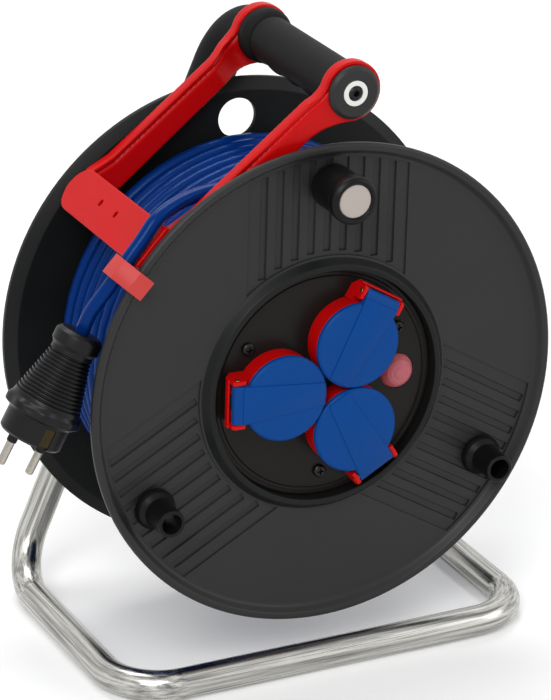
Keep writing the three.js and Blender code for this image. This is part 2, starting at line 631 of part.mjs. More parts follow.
// A clip beside the plate, hooked over the lead and the front flange's rim.
function addGuideClip() {
  const back = ARM_FRONT + 10.5;
  const front = -2.5 - CLIP_WALL;
  const top = LEAD_OVER_PLATE + CABLE_RADIUS + GAP + CLIP_WALL;
  const foot = GUIDE_SURFACE - GUIDE_PLATE_WALL;
  const flapEnd = CRANK_RADIUS + KNOB_RADIUS + 1;
  const outline = [
    [front, flapEnd], [front + CLIP_WALL, flapEnd], [front + CLIP_WALL, top - 9.2], [4.8, top - CLIP_WALL],
    [back - 5, top - CLIP_WALL], [back - CLIP_WALL, top - 5], [back - CLIP_WALL, foot], [back, foot],
    [back, top - 4.2], [back - 4.2, top], [4, top], [front, top - 8.5],
  ];
  const shape = new THREE.Shape(outline.map(([y, out]) => new THREE.Vector2(y, out)));
  const options = { depth: CLIP_WIDTH, bevelEnabled: false };
  const start = GUIDE_PLATE_WIDTH / 2 + GAP;
  // The outline is drawn as along the drum's axis and outwards, and runs on across the drum.
  const clip = new THREE.ExtrudeGeometry(shape, options).translate(0, 0, start);
  const axes = new THREE.Matrix4().makeBasis(
    new THREE.Vector3(0, 1, 0), around(1, GUIDE_TURN), around(1, GUIDE_TURN + Math.PI / 2));
  add(reel, "guide_clip", closed(clip.applyMatrix4(axes)), PALE_RED_PLASTIC);
}

// ---- Drum ----

function ribGrooves() {
  const grooves = [];
  const reach = DRUM_RADIUS - 7;
  const lip = PAN_RADIUS + 6;
  const count = 4;
  for (let sector = 0; sector < 3; sector += 1) {
    for (let i = -count; i <= count; i += 1) {
      const across = i * RIB_PITCH;
      const inner = Math.sqrt(Math.max(lip ** 2 - across ** 2, 0)) + 2;
      const outer = Math.sqrt(reach ** 2 - across ** 2) - 2;
      const groove = block(
        [across - RIB_GROOVE / 2, FLANGE_FACE - 1, inner],
        [across + RIB_GROOVE / 2, FLANGE_FACE + RIB_DEPTH, outer],
      );
      grooves.push(groove.rotateY((sector * 2 * Math.PI) / 3));
    }
  }
  return grooves;
}

const crankAngle = (i) => Math.PI / 2 + (i * 2 * Math.PI) / 3;

function addFrontFlange() {
  const flange = turned([
    [RECESS_RADIUS, 0], [PAN_RADIUS + 0.5, 0], [PAN_RADIUS + 3, FLANGE_FACE],
    [DRUM_RADIUS - 5.5, FLANGE_FACE], [DRUM_RADIUS - 3, 0], [DRUM_RADIUS - 1.2, 0],
    [DRUM_RADIUS, RIM_WIDTH / 2], [DRUM_RADIUS, RIM_WIDTH],
    [DRUM_RADIUS - 7, FLANGE_BACK], [PAN_RADIUS, FLANGE_BACK], [PAN_RADIUS, PAN_FLOOR + 2.7],
    [PAN_RADIUS - 10.5, PAN_FLOOR + 2.7], [PAN_RADIUS - 10.5, PAN_FLOOR], [RECESS_RADIUS, PAN_FLOOR],
  ], ROUND);
  const holes = [0, 1, 2].map((i) => {
    const radius = i === 0 ? SPINDLE_RADIUS + GAP : POST_RADIUS + 0.6 + GAP;
    const place = around(CRANK_RADIUS, crankAngle(i));
    return rod(radius, 0, FLANGE_BACK + 1).translate(place.x, 0, place.z);
  });
  add(drum, "front_flange", without(flange, [...ribGrooves(), ...holes]), BLACK_PLASTIC);
}

function addRearFlange() {
  const spigot = PAN_RADIUS - 3;
  const flange = turned([
    [SLEEVE_BORE, SLEEVE_FRONT], [SLEEVE_BORE + SLEEVE_WALL, SLEEVE_FRONT],
    [SLEEVE_BORE + SLEEVE_WALL, REAR_FACE - 4], [SLEEVE_BORE + SLEEVE_WALL + 4, REAR_FACE],
    [spigot, REAR_FACE], [spigot, REAR_FACE - 8], [PAN_RADIUS, REAR_FACE - 8], [PAN_RADIUS, REAR_FACE],
    [DRUM_RADIUS - 7, REAR_FACE], [DRUM_RADIUS, REAR_FACE + 3.5], [DRUM_RADIUS, REAR_RIM - 1.5],
    [DRUM_RADIUS - 1.5, REAR_RIM], [DRUM_RADIUS - 3.5, REAR_RIM], [DRUM_RADIUS - 6, REAR_DISC],
    [SLEEVE_BORE + SLEEVE_WALL + 8, REAR_DISC], [SLEEVE_BORE + SLEEVE_WALL + 3, REAR_RIM],
    [SLEEVE_BORE, REAR_RIM],
  ], ROUND);
  const ribs = [];
  const ribCount = 9;
  for (let i = 0; i < ribCount; i += 1) {
    const root = SLEEVE_BORE + SLEEVE_WALL + 6;
    const rib = block([-1.2, REAR_DISC - 1, root], [1.2, REAR_RIM - 2, DRUM_RADIUS - REAR_RIB_INSET]);
    ribs.push(rib.rotateY(((i + 0.5) * 2 * Math.PI) / ribCount));
  }
  const hole = rod(LIFTING_HOLE_RADIUS, REAR_FACE - 5, REAR_RIM + 5, MEDIUM_ROUND);
  hole.translate(0, 0, CRANK_RADIUS + 1);
  const screwHoles = [0, 1, 2].map((i) => {
    const place = around(FLANGE_SCREW_CIRCLE, crankAngle(i));
    return rod(2 + GAP, REAR_FACE - 10, REAR_RIM, TINY_ROUND).translate(place.x, 0, place.z);
  });
  const solid = toSolid(joined(flange, ...ribs));
  const body = [hole, ...screwHoles].reduce((a, b) => a.subtract(toSolid(b)), solid);
  add(drum, "rear_flange", toGeometry(body), BLACK_PLASTIC);
}

// The hollow barrel under the cable, with screw columns at both ends.
function addBarrel() {
  const front = FLANGE_BACK + GAP;
  const back = REAR_FACE - GAP;
  const wall = ring(BARREL_BORE, BARREL_RADIUS, front, back, ROUND);
  const columns = [];
  const holes = [];
  for (let i = 0; i < 3; i += 1) {
    const angle = crankAngle(i) + Math.PI / 3;
    const place = around(PLATE_SCREW_CIRCLE, angle);
    const columnFront = PAN_FLOOR;
    const columnBack = columnFront + SCREW_COLUMN_LENGTH;
    const column = rod(SCREW_COLUMN_RADIUS, columnFront, columnBack, TINY_ROUND);
    columns.push(column.translate(place.x, 0, place.z));
    const web = [PLATE_SCREW_CIRCLE + 2, PAN_FLOOR + 2.7 + GAP, -1.2];
    columns.push(block(web, [BARREL_BORE + 1, columnBack, 1.2]).rotateY(-angle));
    holes.push(rod(1.9, columnFront - 1, columnFront + 14, TINY_ROUND).translate(place.x, 0, place.z));
    const rearAngle = crankAngle(i);
    const rearPlace = around(FLANGE_SCREW_CIRCLE, rearAngle);
    const rearFront = back - SCREW_COLUMN_LENGTH;
    const rearColumn = rod(SCREW_COLUMN_RADIUS, rearFront, back, TINY_ROUND);
    columns.push(rearColumn.translate(rearPlace.x, 0, rearPlace.z));
    const rearWeb = [FLANGE_SCREW_CIRCLE + 2, rearFront, -1.2];
    columns.push(block(rearWeb, [BARREL_BORE + 1, REAR_FACE - 8 - GAP, 1.2]).rotateY(-rearAngle));
    holes.push(rod(2 + GAP, back - 14, back + 1, TINY_ROUND).translate(rearPlace.x, 0, rearPlace.z));
  }
  const body = holes.reduce((a, b) => a.subtract(toSolid(b)), toSolid(joined(wall, ...columns)));
  add(drum, "hub_barrel", toGeometry(body), BLACK_PLASTIC);
  for (let i = 0; i < 3; i += 1) {
    const place = around(FLANGE_SCREW_CIRCLE, crankAngle(i));
    const screw = turned([
      [0, back - 12], [2, back - 12], [2, REAR_DISC + GAP], [4.2, REAR_DISC + GAP],
      [4.2, REAR_DISC + 1.6], [3, REAR_DISC + 2.6], [0, REAR_DISC + 2.6],
    ], TINY_ROUND).translate(place.x, 0, place.z);
    add(drum, `flange_screw_${i + 1}`, screw, DARK_STEEL);
  }
}

function addBush() {
  const bush = turned([
    [AXLE_RADIUS + GAP, SLEEVE_FRONT], [BUSH_RADIUS, SLEEVE_FRONT],
    [BUSH_RADIUS, REAR_RIM + GAP], [BUSH_RADIUS + 3.5, REAR_RIM + GAP],
    [BUSH_RADIUS + 3.5, REAR_RIM + 2], [AXLE_RADIUS + GAP, REAR_RIM + 2],
  ]);
  add(drum, "bearing_bush", bush, WHITE_PLASTIC);
}

// ---- Knob and posts ----

function addPosts() {
  const root = POST_RADIUS + 0.6;
  const seat = FLANGE_FACE - GAP;
  ["post_left", "post_right"].forEach((name, i) => {
    const place = around(CRANK_RADIUS, crankAngle(i + 1));
    const post = turned([
      [POST_BORE, -POST_FRONT], [POST_RADIUS - 0.6, -POST_FRONT], [POST_RADIUS, 0.6 - POST_FRONT],
      [POST_RADIUS + 0.6, -3], [POST_COLLAR - 1, 0], [POST_COLLAR, seat], [root, seat],
      [root, FLANGE_BACK], [POST_BORE, FLANGE_BACK],
    ]).translate(place.x, 0, place.z);
    add(drum, name, post, BLACK_PLASTIC);
  });
}

function addKnob() {
  const place = around(CRANK_RADIUS, crankAngle(0));
  const headBack = -18;
  const seat = FLANGE_FACE - RUNNING_GAP;
  const bore = SPINDLE_RADIUS + GAP;
  const pocket = SPINDLE_HEAD + RUNNING_GAP;
  const discSeat = 2.4 - KNOB_FRONT;
  const knob = turned([
    [bore, seat], [KNOB_RADIUS - 2, seat], [KNOB_RADIUS - 1, seat - 3], [KNOB_RADIUS - 1.2, -19],
    [KNOB_RADIUS, -21.5], [KNOB_RADIUS, 1.6 - KNOB_FRONT], [KNOB_RADIUS - 1.4, -KNOB_FRONT],
    [KNOB_DISC_RADIUS + 0.8, -KNOB_FRONT], [KNOB_DISC_RADIUS + GAP, 0.7 - KNOB_FRONT],
    [KNOB_DISC_RADIUS + GAP, discSeat], [pocket, discSeat], [pocket, headBack], [bore, headBack],
  ]).translate(place.x, 0, place.z);
  add(drum, "crank_knob", knob, BLACK_PLASTIC);
  const disc = rod(KNOB_DISC_RADIUS, discSeat - GAP - 1.4, discSeat - GAP);
  add(drum, "knob_disc", disc.translate(place.x, 0, place.z), SILVER_PLASTIC);
  const spindle = turned([
    [0, headBack - 4], [SPINDLE_HEAD, headBack - 4], [SPINDLE_HEAD, headBack - GAP],
    [SPINDLE_RADIUS, headBack - GAP], [SPINDLE_RADIUS, FLANGE_BACK], [0, FLANGE_BACK],
  ]).translate(place.x, 0, place.z);
  add(drum, "knob_spindle", spindle, GALVANISED_STEEL);
}

// ---- Sockets ----

const socketAngle = (i) => Math.PI - (i * 2 * Math.PI) / SOCKET_COUNT;

// A group whose +X points away from the drum's axis and whose origin is on the socket's axis.
function socketGroup(i) {
  const group = new THREE.Group();
  group.position.copy(around(SOCKET_CIRCLE, socketAngle(i)));
  group.rotation.y = -socketAngle(i);
  drum.add(group);
  return group;
}

function addSocketPlate() {
  const plate = rod(RECESS_RADIUS - GAP, PLATE_DEPTH, PLATE_BACK, ROUND);
  const cuts = [];
  for (let i = 0; i < SOCKET_COUNT; i += 1) {
    const place = around(SOCKET_CIRCLE, socketAngle(i));
    const opening = rod(SOCKET_BODY + GAP, PLATE_DEPTH - 1, PLATE_BACK + 1, MEDIUM_ROUND);
    cuts.push(opening.translate(place.x, 0, place.z));
    const screw = around(PLATE_SCREW_CIRCLE, crankAngle(i) + Math.PI / 3);
    cuts.push(rod(2.2, PLATE_DEPTH - 1, PLATE_BACK + 1, TINY_ROUND).translate(screw.x, 0, screw.z));
  }
  cuts.push(rod(BUTTON_RADIUS + GAP, PLATE_DEPTH - 1, PLATE_BACK + 1).translate(BUTTON_OFFSET, 0, 0));
  add(drum, "socket_plate", without(plate, cuts), BLACK_PLASTIC);
  for (let i = 0; i < SOCKET_COUNT; i += 1) {
    const place = around(PLATE_SCREW_CIRCLE, crankAngle(i) + Math.PI / 3);
    const face = PLATE_DEPTH - GAP;
    const screw = turned([
      [0, face - 1.2], [1.4, face - 1.2], [1.4, face - 2.2], [3, face - 2.2], [3.8, face - 1.4],
      [3.8, face], [1.6, face], [1.6, PLATE_BACK + 12], [0, PLATE_BACK + 12],
    ], TINY_ROUND).translate(place.x, 0, place.z);
    add(drum, `plate_screw_${i + 1}`, screw, DARK_STEEL);
  }
}

function socketHousing() {
  const seat = PLATE_DEPTH - GAP;
  const body = turned([
    [0, WELL_FLOOR], [SOCKET_WELL, WELL_FLOOR], [SOCKET_WELL, -SOCKET_FRONT], [SOCKET_RIM, -SOCKET_FRONT],
    [SOCKET_RIM, seat], [SOCKET_BODY, seat], [SOCKET_BODY, SOCKET_BACK], [0, SOCKET_BACK],
  ], MEDIUM_ROUND);
  const halfTab = LID_TAB / 2 + RUNNING_GAP;
  const outside = HINGE_OFFSET + EAR_REACH;
  const inside = SOCKET_RIM - 4;
  const base = block([inside, 0, -halfTab - EAR_WALL], [outside, seat, halfTab + EAR_WALL]);
  const ears = [-1, 1].map((side) => {
    const middle = side * (halfTab + EAR_WALL / 2);
    return block(
      [HINGE_OFFSET - EAR_INNER_REACH, HINGE_DEPTH - 3, middle - EAR_WALL / 2],
      [outside, seat, middle + EAR_WALL / 2],
    );
  });
  const well = rod(SOCKET_WELL, -SOCKET_FRONT - 5, WELL_FLOOR, MEDIUM_ROUND);
  const pinHole = hingeRod(HINGE_PIN_RADIUS + GAP, LID_TAB / 2 + EAR_WALL + 5);
  const contactHoles = [-1, 1].map((side) =>
    rod(CONTACT_RADIUS + 0.4, WELL_FLOOR - 1, SOCKET_BACK + 1, TINY_ROUND)
      .translate((side * PIN_PITCH) / 2, 0, 0));
  const earthSlots = [-1, 1].map((side) => {
    const middle = side * (SOCKET_WELL - 1.2);
    return block([-3 - GAP, WELL_FLOOR - 1, middle - 1.1], [3 + GAP, SOCKET_BACK + 1, middle + 1.1]);
  });
  const solid = toSolid(joined(body, base, ...ears));
  const cuts = [well, pinHole, ...contactHoles, ...earthSlots];
  return toGeometry(cuts.reduce((a, b) => a.subtract(toSolid(b)), solid));
}

// A rod on the lid hinge's axis, reaching half its length to each side.
function hingeRod(radius, half, sides = TINY_ROUND) {
  return rod(radius, -half, half, sides).rotateX(Math.PI / 2).translate(HINGE_OFFSET, HINGE_DEPTH, 0);
}

function socketLid() {
  const halfTab = LID_TAB / 2;
  const disc = turned([
    [0, LID_BACK], [LID_RADIUS, LID_BACK], [LID_RADIUS, LID_FRONT + 1.2], [LID_RADIUS - 1.2, LID_FRONT],
    [0, LID_FRONT],
  ], MEDIUM_ROUND);
  const fold = LID_RADIUS + 1.5;
  const panel = new THREE.Shape();
  panel.moveTo(1.5 - LID_RADIUS, -STRAP_TIP / 2);
  panel.lineTo(fold, -STRAP_WIDTH / 2);
  panel.lineTo(fold, STRAP_WIDTH / 2);
  panel.lineTo(1.5 - LID_RADIUS, STRAP_TIP / 2);
  const strap = slab(panel, LID_FRONT - STRAP_FRONT, LID_FRONT + 1);
  const side = new THREE.Shape();
  side.moveTo(LID_RADIUS - 8, LID_BACK);
  side.lineTo(LID_RADIUS - 8, LID_FRONT);
  side.lineTo(fold, LID_FRONT);
  side.lineTo(HINGE_OFFSET + 1, HINGE_DEPTH - KNUCKLE_RADIUS + 0.3);
  side.lineTo(HINGE_OFFSET + 1, LID_BACK);
  const tabOptions = { depth: LID_TAB, bevelEnabled: false };
  const tab = new THREE.ExtrudeGeometry(side, tabOptions).translate(0, 0, -halfTab);
  const knuckle = hingeRod(KNUCKLE_RADIUS, halfTab, 12);
  const pinHole = hingeRod(HINGE_PIN_RADIUS + GAP, halfTab + 2);
  return without(joined(disc, strap, tab, knuckle), [pinHole]);
}

// A leaf spring on the socket's base, whose hump bears on the lid's knuckle.
function lidSpring() {
  const seat = -GAP;
  const crest = HINGE_DEPTH + KNUCKLE_RADIUS + GAP;
  const outline = new THREE.Shape();
  outline.moveTo(SOCKET_RIM + 0.5, seat);
  outline.lineTo(SOCKET_RIM + 0.5, seat - LEAF_WALL);
  outline.lineTo(HINGE_OFFSET - 2.5, seat - LEAF_WALL);
  outline.lineTo(HINGE_OFFSET - 1, crest);
  outline.lineTo(HINGE_OFFSET + 1, crest);
  outline.lineTo(HINGE_OFFSET + 2.5, seat - LEAF_WALL);
  outline.lineTo(HINGE_OFFSET + 4.5, seat - LEAF_WALL);
  outline.lineTo(HINGE_OFFSET + 4.5, seat);
  const leaf = new THREE.ExtrudeGeometry(outline, { depth: LEAF_WIDTH, bevelEnabled: false });
  return closed(leaf.translate(0, 0, -LEAF_WIDTH / 2));
}

// The earth strip: a bow behind the socket whose two tongues stand up in the well.
function earthClip() {
  const reach = SOCKET_WELL - 0.7;
  const back = SOCKET_BACK + GAP;
  const bow = block([-3, back, -reach], [3, back + 1, reach]);
  const tongues = [-1, 1].map((side) => {
    const outer = side * reach;
    const inner = side * (reach - 1);
    return block([-3, 0, Math.min(outer, inner)], [3, back + 1, Math.max(outer, inner)]);
  });
  return joined(bow, ...tongues);
}

// One live or neutral bar: a ring behind the sockets with a sleeve into each of them.
function busbar(radius, depth) {
  const half = BUSBAR_HALF_WIDTH;
  const bar = ring(radius - half, radius + half, depth, depth + BUSBAR_WALL, MEDIUM_ROUND);
  const sleeves = [];
  for (let i = 0; i < SOCKET_COUNT; i += 1) {
    const place = around(radius, socketAngle(i));
    const sleeve = rod(CONTACT_RADIUS, WELL_FLOOR + 1, depth + BUSBAR_WALL / 2, TINY_ROUND);
    sleeves.push(sleeve.translate(place.x, 0, place.z));
  }
  return joined(bar, ...sleeves);
}

function addSockets() {
  for (let i = 0; i < SOCKET_COUNT; i += 1) {
    const group = socketGroup(i);
    add(group, `socket_${i + 1}`, socketHousing(), RED_PLASTIC);
    add(group, `lid_${i + 1}`, socketLid(), BLUE_PLASTIC);
    add(group, `lid_pin_${i + 1}`, hingeRod(HINGE_PIN_RADIUS, LID_TAB / 2 + EAR_WALL), BRASS);
    add(group, `lid_spring_${i + 1}`, lidSpring(), GALVANISED_STEEL);
    add(group, `earth_clip_${i + 1}`, earthClip(), BRASS);
  }
  const depth = SOCKET_BACK + BUSBAR_STANDOFF;
  add(drum, "live_bar", busbar(SOCKET_CIRCLE - PIN_PITCH / 2, depth), BRASS);
  add(drum, "neutral_bar", busbar(SOCKET_CIRCLE + PIN_PITCH / 2, depth), BRASS);
}

function addThermalSwitch() {
  const place = (geometry) => geometry.translate(BUTTON_OFFSET, 0, 0);
  const travel = 2;
  const skirtBack = PLATE_BACK - 1;
  const dome = turned([
    [0, PLATE_DEPTH - BUTTON_FRONT], [BUTTON_RADIUS * 0.4, PLATE_DEPTH - BUTTON_FRONT * 0.93],
    [BUTTON_RADIUS * 0.73, PLATE_DEPTH - BUTTON_FRONT * 0.65],
    [BUTTON_RADIUS * 0.93, PLATE_DEPTH - BUTTON_FRONT * 0.25],
    [BUTTON_RADIUS, PLATE_DEPTH + 0.4], [BUTTON_RADIUS, skirtBack],
    [BUTTON_STEM, skirtBack], [BUTTON_STEM, skirtBack + 8], [0, skirtBack + 8],
  ]);
  add(drum, "thermal_button", place(dome), PINK_RUBBER);
  const bodyFront = skirtBack + travel + 0.5;
  const collar = ring(BUTTON_RADIUS + GAP, BUTTON_RADIUS + 2.2, PLATE_BACK + GAP, bodyFront + 1);
  const inner = SOCKET_CIRCLE + PIN_PITCH / 2 + BUSBAR_HALF_WIDTH + 2 * GAP - BUTTON_OFFSET;
  const box = block([inner, bodyFront, -11], [BUTTON_RADIUS, bodyFront + 20, 11]);
  const stemHole = rod(BUTTON_STEM + GAP, bodyFront - 1, skirtBack + 8 + travel + 1, TINY_ROUND);
  const body = toSolid(joined(box, collar)).subtract(toSolid(stemHole));
  add(drum, "thermal_switch", place(toGeometry(body)), WHITE_PLASTIC);
}

// ---- Cable ----

// Where the outer layer leaves the drum, as an angle round the axis.
const LEAD_ANGLE = THREE.MathUtils.degToRad(62);

function windingRoute() {
  const stepsPerLoop = 24;
  const steps = Math.round(CABLE_LOOPS * stepsPerLoop);
  const points = [];
  for (let i = 0; i <= steps; i += 1) {
    const turn = ((steps - i) / stepsPerLoop) * 2 * Math.PI;
    const y = LEAD_START_Y + ((steps - i) / stepsPerLoop) * CABLE_PITCH;
    points.push(around(WINDING_RADIUS, LEAD_ANGLE - turn, y));
  }
  const reach = 2 * CABLE_RADIUS;
  const last = points.length - 1;
  const startWay = points[0].clone().sub(points[1]).setLength(reach);
  const endWay = points[last].clone().sub(points[last - 1]).setLength(reach);
  points.unshift(points[0].clone().add(startWay));
  points.push(points[last + 1].clone().add(endWay));
  return points;
}

// One unbroken tube along a list of points, each ring of its sides square to the route.
function tubeThrough(points, radius, sides) {
  const positions = [];
  const triangles = [];
  const last = points.length - 1;
  points.forEach((point, i) => {
    const before = points[Math.max(i - 1, 0)];
    const after = points[Math.min(i + 1, last)];
    const heading = after.clone().sub(before).normalize();
    const out = new THREE.Vector3(point.x, 0, point.z).normalize();
    out.addScaledVector(heading, -out.dot(heading)).normalize();
    const side = heading.clone().cross(out);
    for (let k = 0; k < sides; k += 1) {
      const angle = (2 * Math.PI * (k + 0.5)) / sides;
      const corner = point.clone().addScaledVector(out, radius * Math.cos(angle));
      corner.addScaledVector(side, radius * Math.sin(angle));
      positions.push(corner.x, corner.y, corner.z);
    }
  });
  for (let i = 0; i < last; i += 1) {
    for (let k = 0; k < sides; k += 1) {
      const a = i * sides + k;
      const b = i * sides + ((k + 1) % sides);
      triangles.push(a, b, b + sides, a, b + sides, a + sides);
    }
  }
  for (let k = 1; k < sides - 1; k += 1) {
    triangles.push(0, k + 1, k);
    triangles.push(last * sides, last * sides + k, last * sides + k + 1);
  }
  const geometry = new THREE.BufferGeometry();
  geometry.setAttribute("position", new THREE.Float32BufferAttribute(positions, 3));
  geometry.setIndex(triangles);
  return closed(geometry);
}

// The smallest gap between two turns, measured between points at least half a loop apart.
function leastSelfGap(points) {
  let least = Infinity;
  for (let i = 0; i < points.length; i += 1) {
    for (let j = i + 12; j < points.length; j += 1) {
      least = Math.min(least, points[i].distanceTo(points[j]) - 2 * CABLE_RADIUS);
    }
  }
  return least;
}

// The cable's free end, as [angle in degrees, rise, y] round the drum. The rise runs from 0 in the
// outer layer of turns to 1 over the guide's plate.
const LEAD_POINTS = [
  [73.5, 0.051, 16.6], [82, 0.148, 17.6], [92, 0.239, 19.3], [102, 0.369, 21.4], [112, 0.539, 22.6],
  [120, 0.738, 22.6], [126.5, 0.92, 18.7], [131.5, 1.02, 14.9], [136.75, 1, 13.4], [142, 1.01, 12.6],
  [146.5, 1.026, 12.6], [151, 1.056, 14], [155.5, 1.074, 17.4],
];
const PLUG_PLACE = around(PLUG_CIRCLE, THREE.MathUtils.degToRad(160.52), 20);
const PLUG_HEADING = new THREE.Vector3(-0.49, 0, -0.872).normalize();

function addCable() {
  const core = ring(BARREL_RADIUS + GAP, CORE_RADIUS, FLANGE_BACK + GAP, REAR_FACE - GAP, ROUND);
  add(reel, "cable_core", core, BLUE_JACKET);
  const route = windingRoute();
  console.log(`least gap between turns: ${leastSelfGap(route).toFixed(2)} mm`);
  add(reel, "cable_winding", tubeThrough(route, CABLE_RADIUS, 6), BLUE_JACKET);
  const end = route[route.length - 1];
  const way = end.clone().sub(route[route.length - 2]).normalize();
  const points = [end.clone().addScaledVector(way, GAP), end.clone().addScaledVector(way, 5)];
  for (const [angle, rise, y] of LEAD_POINTS) {
    const radius = WINDING_RADIUS + rise * (LEAD_OVER_PLATE - WINDING_RADIUS);
    points.push(around(radius, THREE.MathUtils.degToRad(angle), y));
  }
  points.push(PLUG_PLACE.clone());
  points.push(PLUG_PLACE.clone().addScaledVector(PLUG_HEADING, 7));
  points.push(PLUG_PLACE.clone().addScaledVector(PLUG_HEADING, PLUG_BORE_DEPTH - GAP));
  const path = new THREE.CatmullRomCurve3(points, false, "centripetal");
  const options = { extrudePath: path, steps: 28, bevelEnabled: false };
  const lead = new THREE.ExtrudeGeometry(polygon(CABLE_RADIUS, 8), options);
  add(reel, "cable_lead", closed(lead), BLUE_JACKET);
}

// ---- Plug ----

const PLUG_BORE_DEPTH = 15;

function addPlug() {
  plug.position.copy(PLUG_PLACE);
  // Local Y runs from the collar to the pins, local X along the line of the two pins.
  const across = new THREE.Vector3(-PLUG_HEADING.z, 0, PLUG_HEADING.x);
  const axes = new THREE.Matrix4().makeBasis(across, PLUG_HEADING, across.clone().cross(PLUG_HEADING));
  plug.quaternion.setFromRotationMatrix(axes);
  const bore = CABLE_RADIUS + 2 * GAP;
  const skirt = PLUG_LENGTH - 20;
  const body = turned([
    [0, PLUG_BORE_DEPTH], [bore, PLUG_BORE_DEPTH], [bore, 0], [PLUG_COLLAR - 2, 0], [PLUG_COLLAR, 2],
    [PLUG_COLLAR, 9], [PLUG_COLLAR - 1.5, 11], [PLUG_COLLAR, 14], [PLUG_SKIRT - 2, skirt - 2],
    [PLUG_SKIRT, skirt], [PLUG_SKIRT, skirt + 4], [PLUG_FACE, skirt + 6], [PLUG_FACE, PLUG_LENGTH - 2],
    [PLUG_FACE - 2, PLUG_LENGTH], [0, PLUG_LENGTH],
  ], MEDIUM_ROUND);
  const pinFoot = PLUG_LENGTH - 6;
  const cuts = [-1, 1].map((side) =>
    rod(PLUG_PIN_RADIUS + GAP, pinFoot, PLUG_LENGTH + 1, TINY_ROUND)
      .translate((side * PIN_PITCH) / 2, 0, 0));
  for (const side of [-1, 1]) {
    const near = side * (PLUG_FACE - 2.5);
    const far = side * (PLUG_FACE + 2);
    cuts.push(block(
      [-3 - GAP, skirt + 7, Math.min(near, far)],
      [3 + GAP, PLUG_LENGTH + 1, Math.max(near, far)],
    ));
  }
  add(plug, "plug_body", without(body, cuts), BLACK_RUBBER);
  [-1, 1].forEach((side, i) => {
    const pin = turned([
      [0, pinFoot + GAP], [PLUG_PIN_RADIUS, pinFoot + GAP],
      [PLUG_PIN_RADIUS, PLUG_LENGTH + PLUG_PIN_LENGTH - 1.5],
      [PLUG_PIN_RADIUS - 1, PLUG_LENGTH + PLUG_PIN_LENGTH], [0, PLUG_LENGTH + PLUG_PIN_LENGTH],
    ], TINY_ROUND).translate((side * PIN_PITCH) / 2, 0, 0);
    add(plug, `plug_pin_${i + 1}`, pin, GALVANISED_STEEL);
    const near = side * (PLUG_FACE - 2.5 + GAP);
    const far = side * (PLUG_FACE - 0.6);
    const low = [-3, skirt + 7 + GAP, Math.min(near, far)];
    const strip = block(low, [3, PLUG_LENGTH - 2, Math.max(near, far)]);
    add(plug, `plug_earth_${i + 1}`, strip, BRASS);
  });
}

addStand();
addBearingBracket();
addAxle();
addGrip();
addBendSleeve();
addGripCap();
addCableGuide();
addGuideClip();
addFrontFlange();
addRearFlange();
addBarrel();
addBush();
addPosts();
addKnob();
addSocketPlate();
addSockets();
addThermalSwitch();
addCable();
addPlug();

export default reel;
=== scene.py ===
"""An extension cord reel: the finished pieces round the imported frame, a studio floor, light and camera.

Lengths in the profiles are millimetres in the reel's own frame: x to the right, y back from the
drum's front edge, z up from the drum's axis. reel_point() turns them into the row's metres.
"""

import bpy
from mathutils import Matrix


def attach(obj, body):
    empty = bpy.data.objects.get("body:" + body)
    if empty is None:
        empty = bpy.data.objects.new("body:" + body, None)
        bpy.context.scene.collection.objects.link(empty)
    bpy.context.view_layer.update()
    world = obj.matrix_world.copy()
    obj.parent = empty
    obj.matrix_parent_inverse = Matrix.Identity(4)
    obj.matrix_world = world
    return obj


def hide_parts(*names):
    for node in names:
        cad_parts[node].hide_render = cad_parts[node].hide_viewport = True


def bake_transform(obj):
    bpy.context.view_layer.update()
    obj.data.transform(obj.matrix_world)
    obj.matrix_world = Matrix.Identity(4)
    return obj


bl_info = {
    "name": "Extension cord reel",
    "version": (1, 0, 0),
    "blender": (4, 5, 0),
    "location": "View3D > Sidebar > Cord Reel",
    "description": "Makes the finished pieces of an extension cord reel round its frame",
    "category": "Object",
}

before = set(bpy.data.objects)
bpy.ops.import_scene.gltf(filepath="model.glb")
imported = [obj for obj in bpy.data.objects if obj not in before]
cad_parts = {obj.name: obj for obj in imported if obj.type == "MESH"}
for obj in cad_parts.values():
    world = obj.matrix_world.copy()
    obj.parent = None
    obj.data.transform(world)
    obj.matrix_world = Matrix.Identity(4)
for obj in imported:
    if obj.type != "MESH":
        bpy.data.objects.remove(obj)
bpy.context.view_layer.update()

import math

import bmesh
import bpy
from bpy.props import FloatProperty, FloatVectorProperty, IntProperty, PointerProperty
from mathutils import Matrix, Vector

MM = 0.001
MIDDLE = 77.0
AXLE_HEIGHT = 173.2
DRUM_TURN = math.radians(1.5)
FULL_TURN = 2 * math.pi
SIDES = (-1, 1)

# ---- Sizes and colours a user would change ----


def linear(code):
    """Turns an sRGB hex colour into linear red, green and blue."""
    values = [int(code[i:i + 2], 16) / 255 for i in (1, 3, 5)]
    return tuple(v / 12.92 if v <= 0.04045 else ((v + 0.055) / 1.055) ** 2.4 for v in values)


def length(name, description, millimetres):
    return FloatProperty(name=name, description=description, default=millimetres * MM,
                         min=0, precision=4, subtype="DISTANCE", unit="LENGTH")


def colour(name, description, code):
    return FloatVectorProperty(name=name, description=description, default=linear(code),
                               min=0, max=1, size=3, subtype="COLOR")


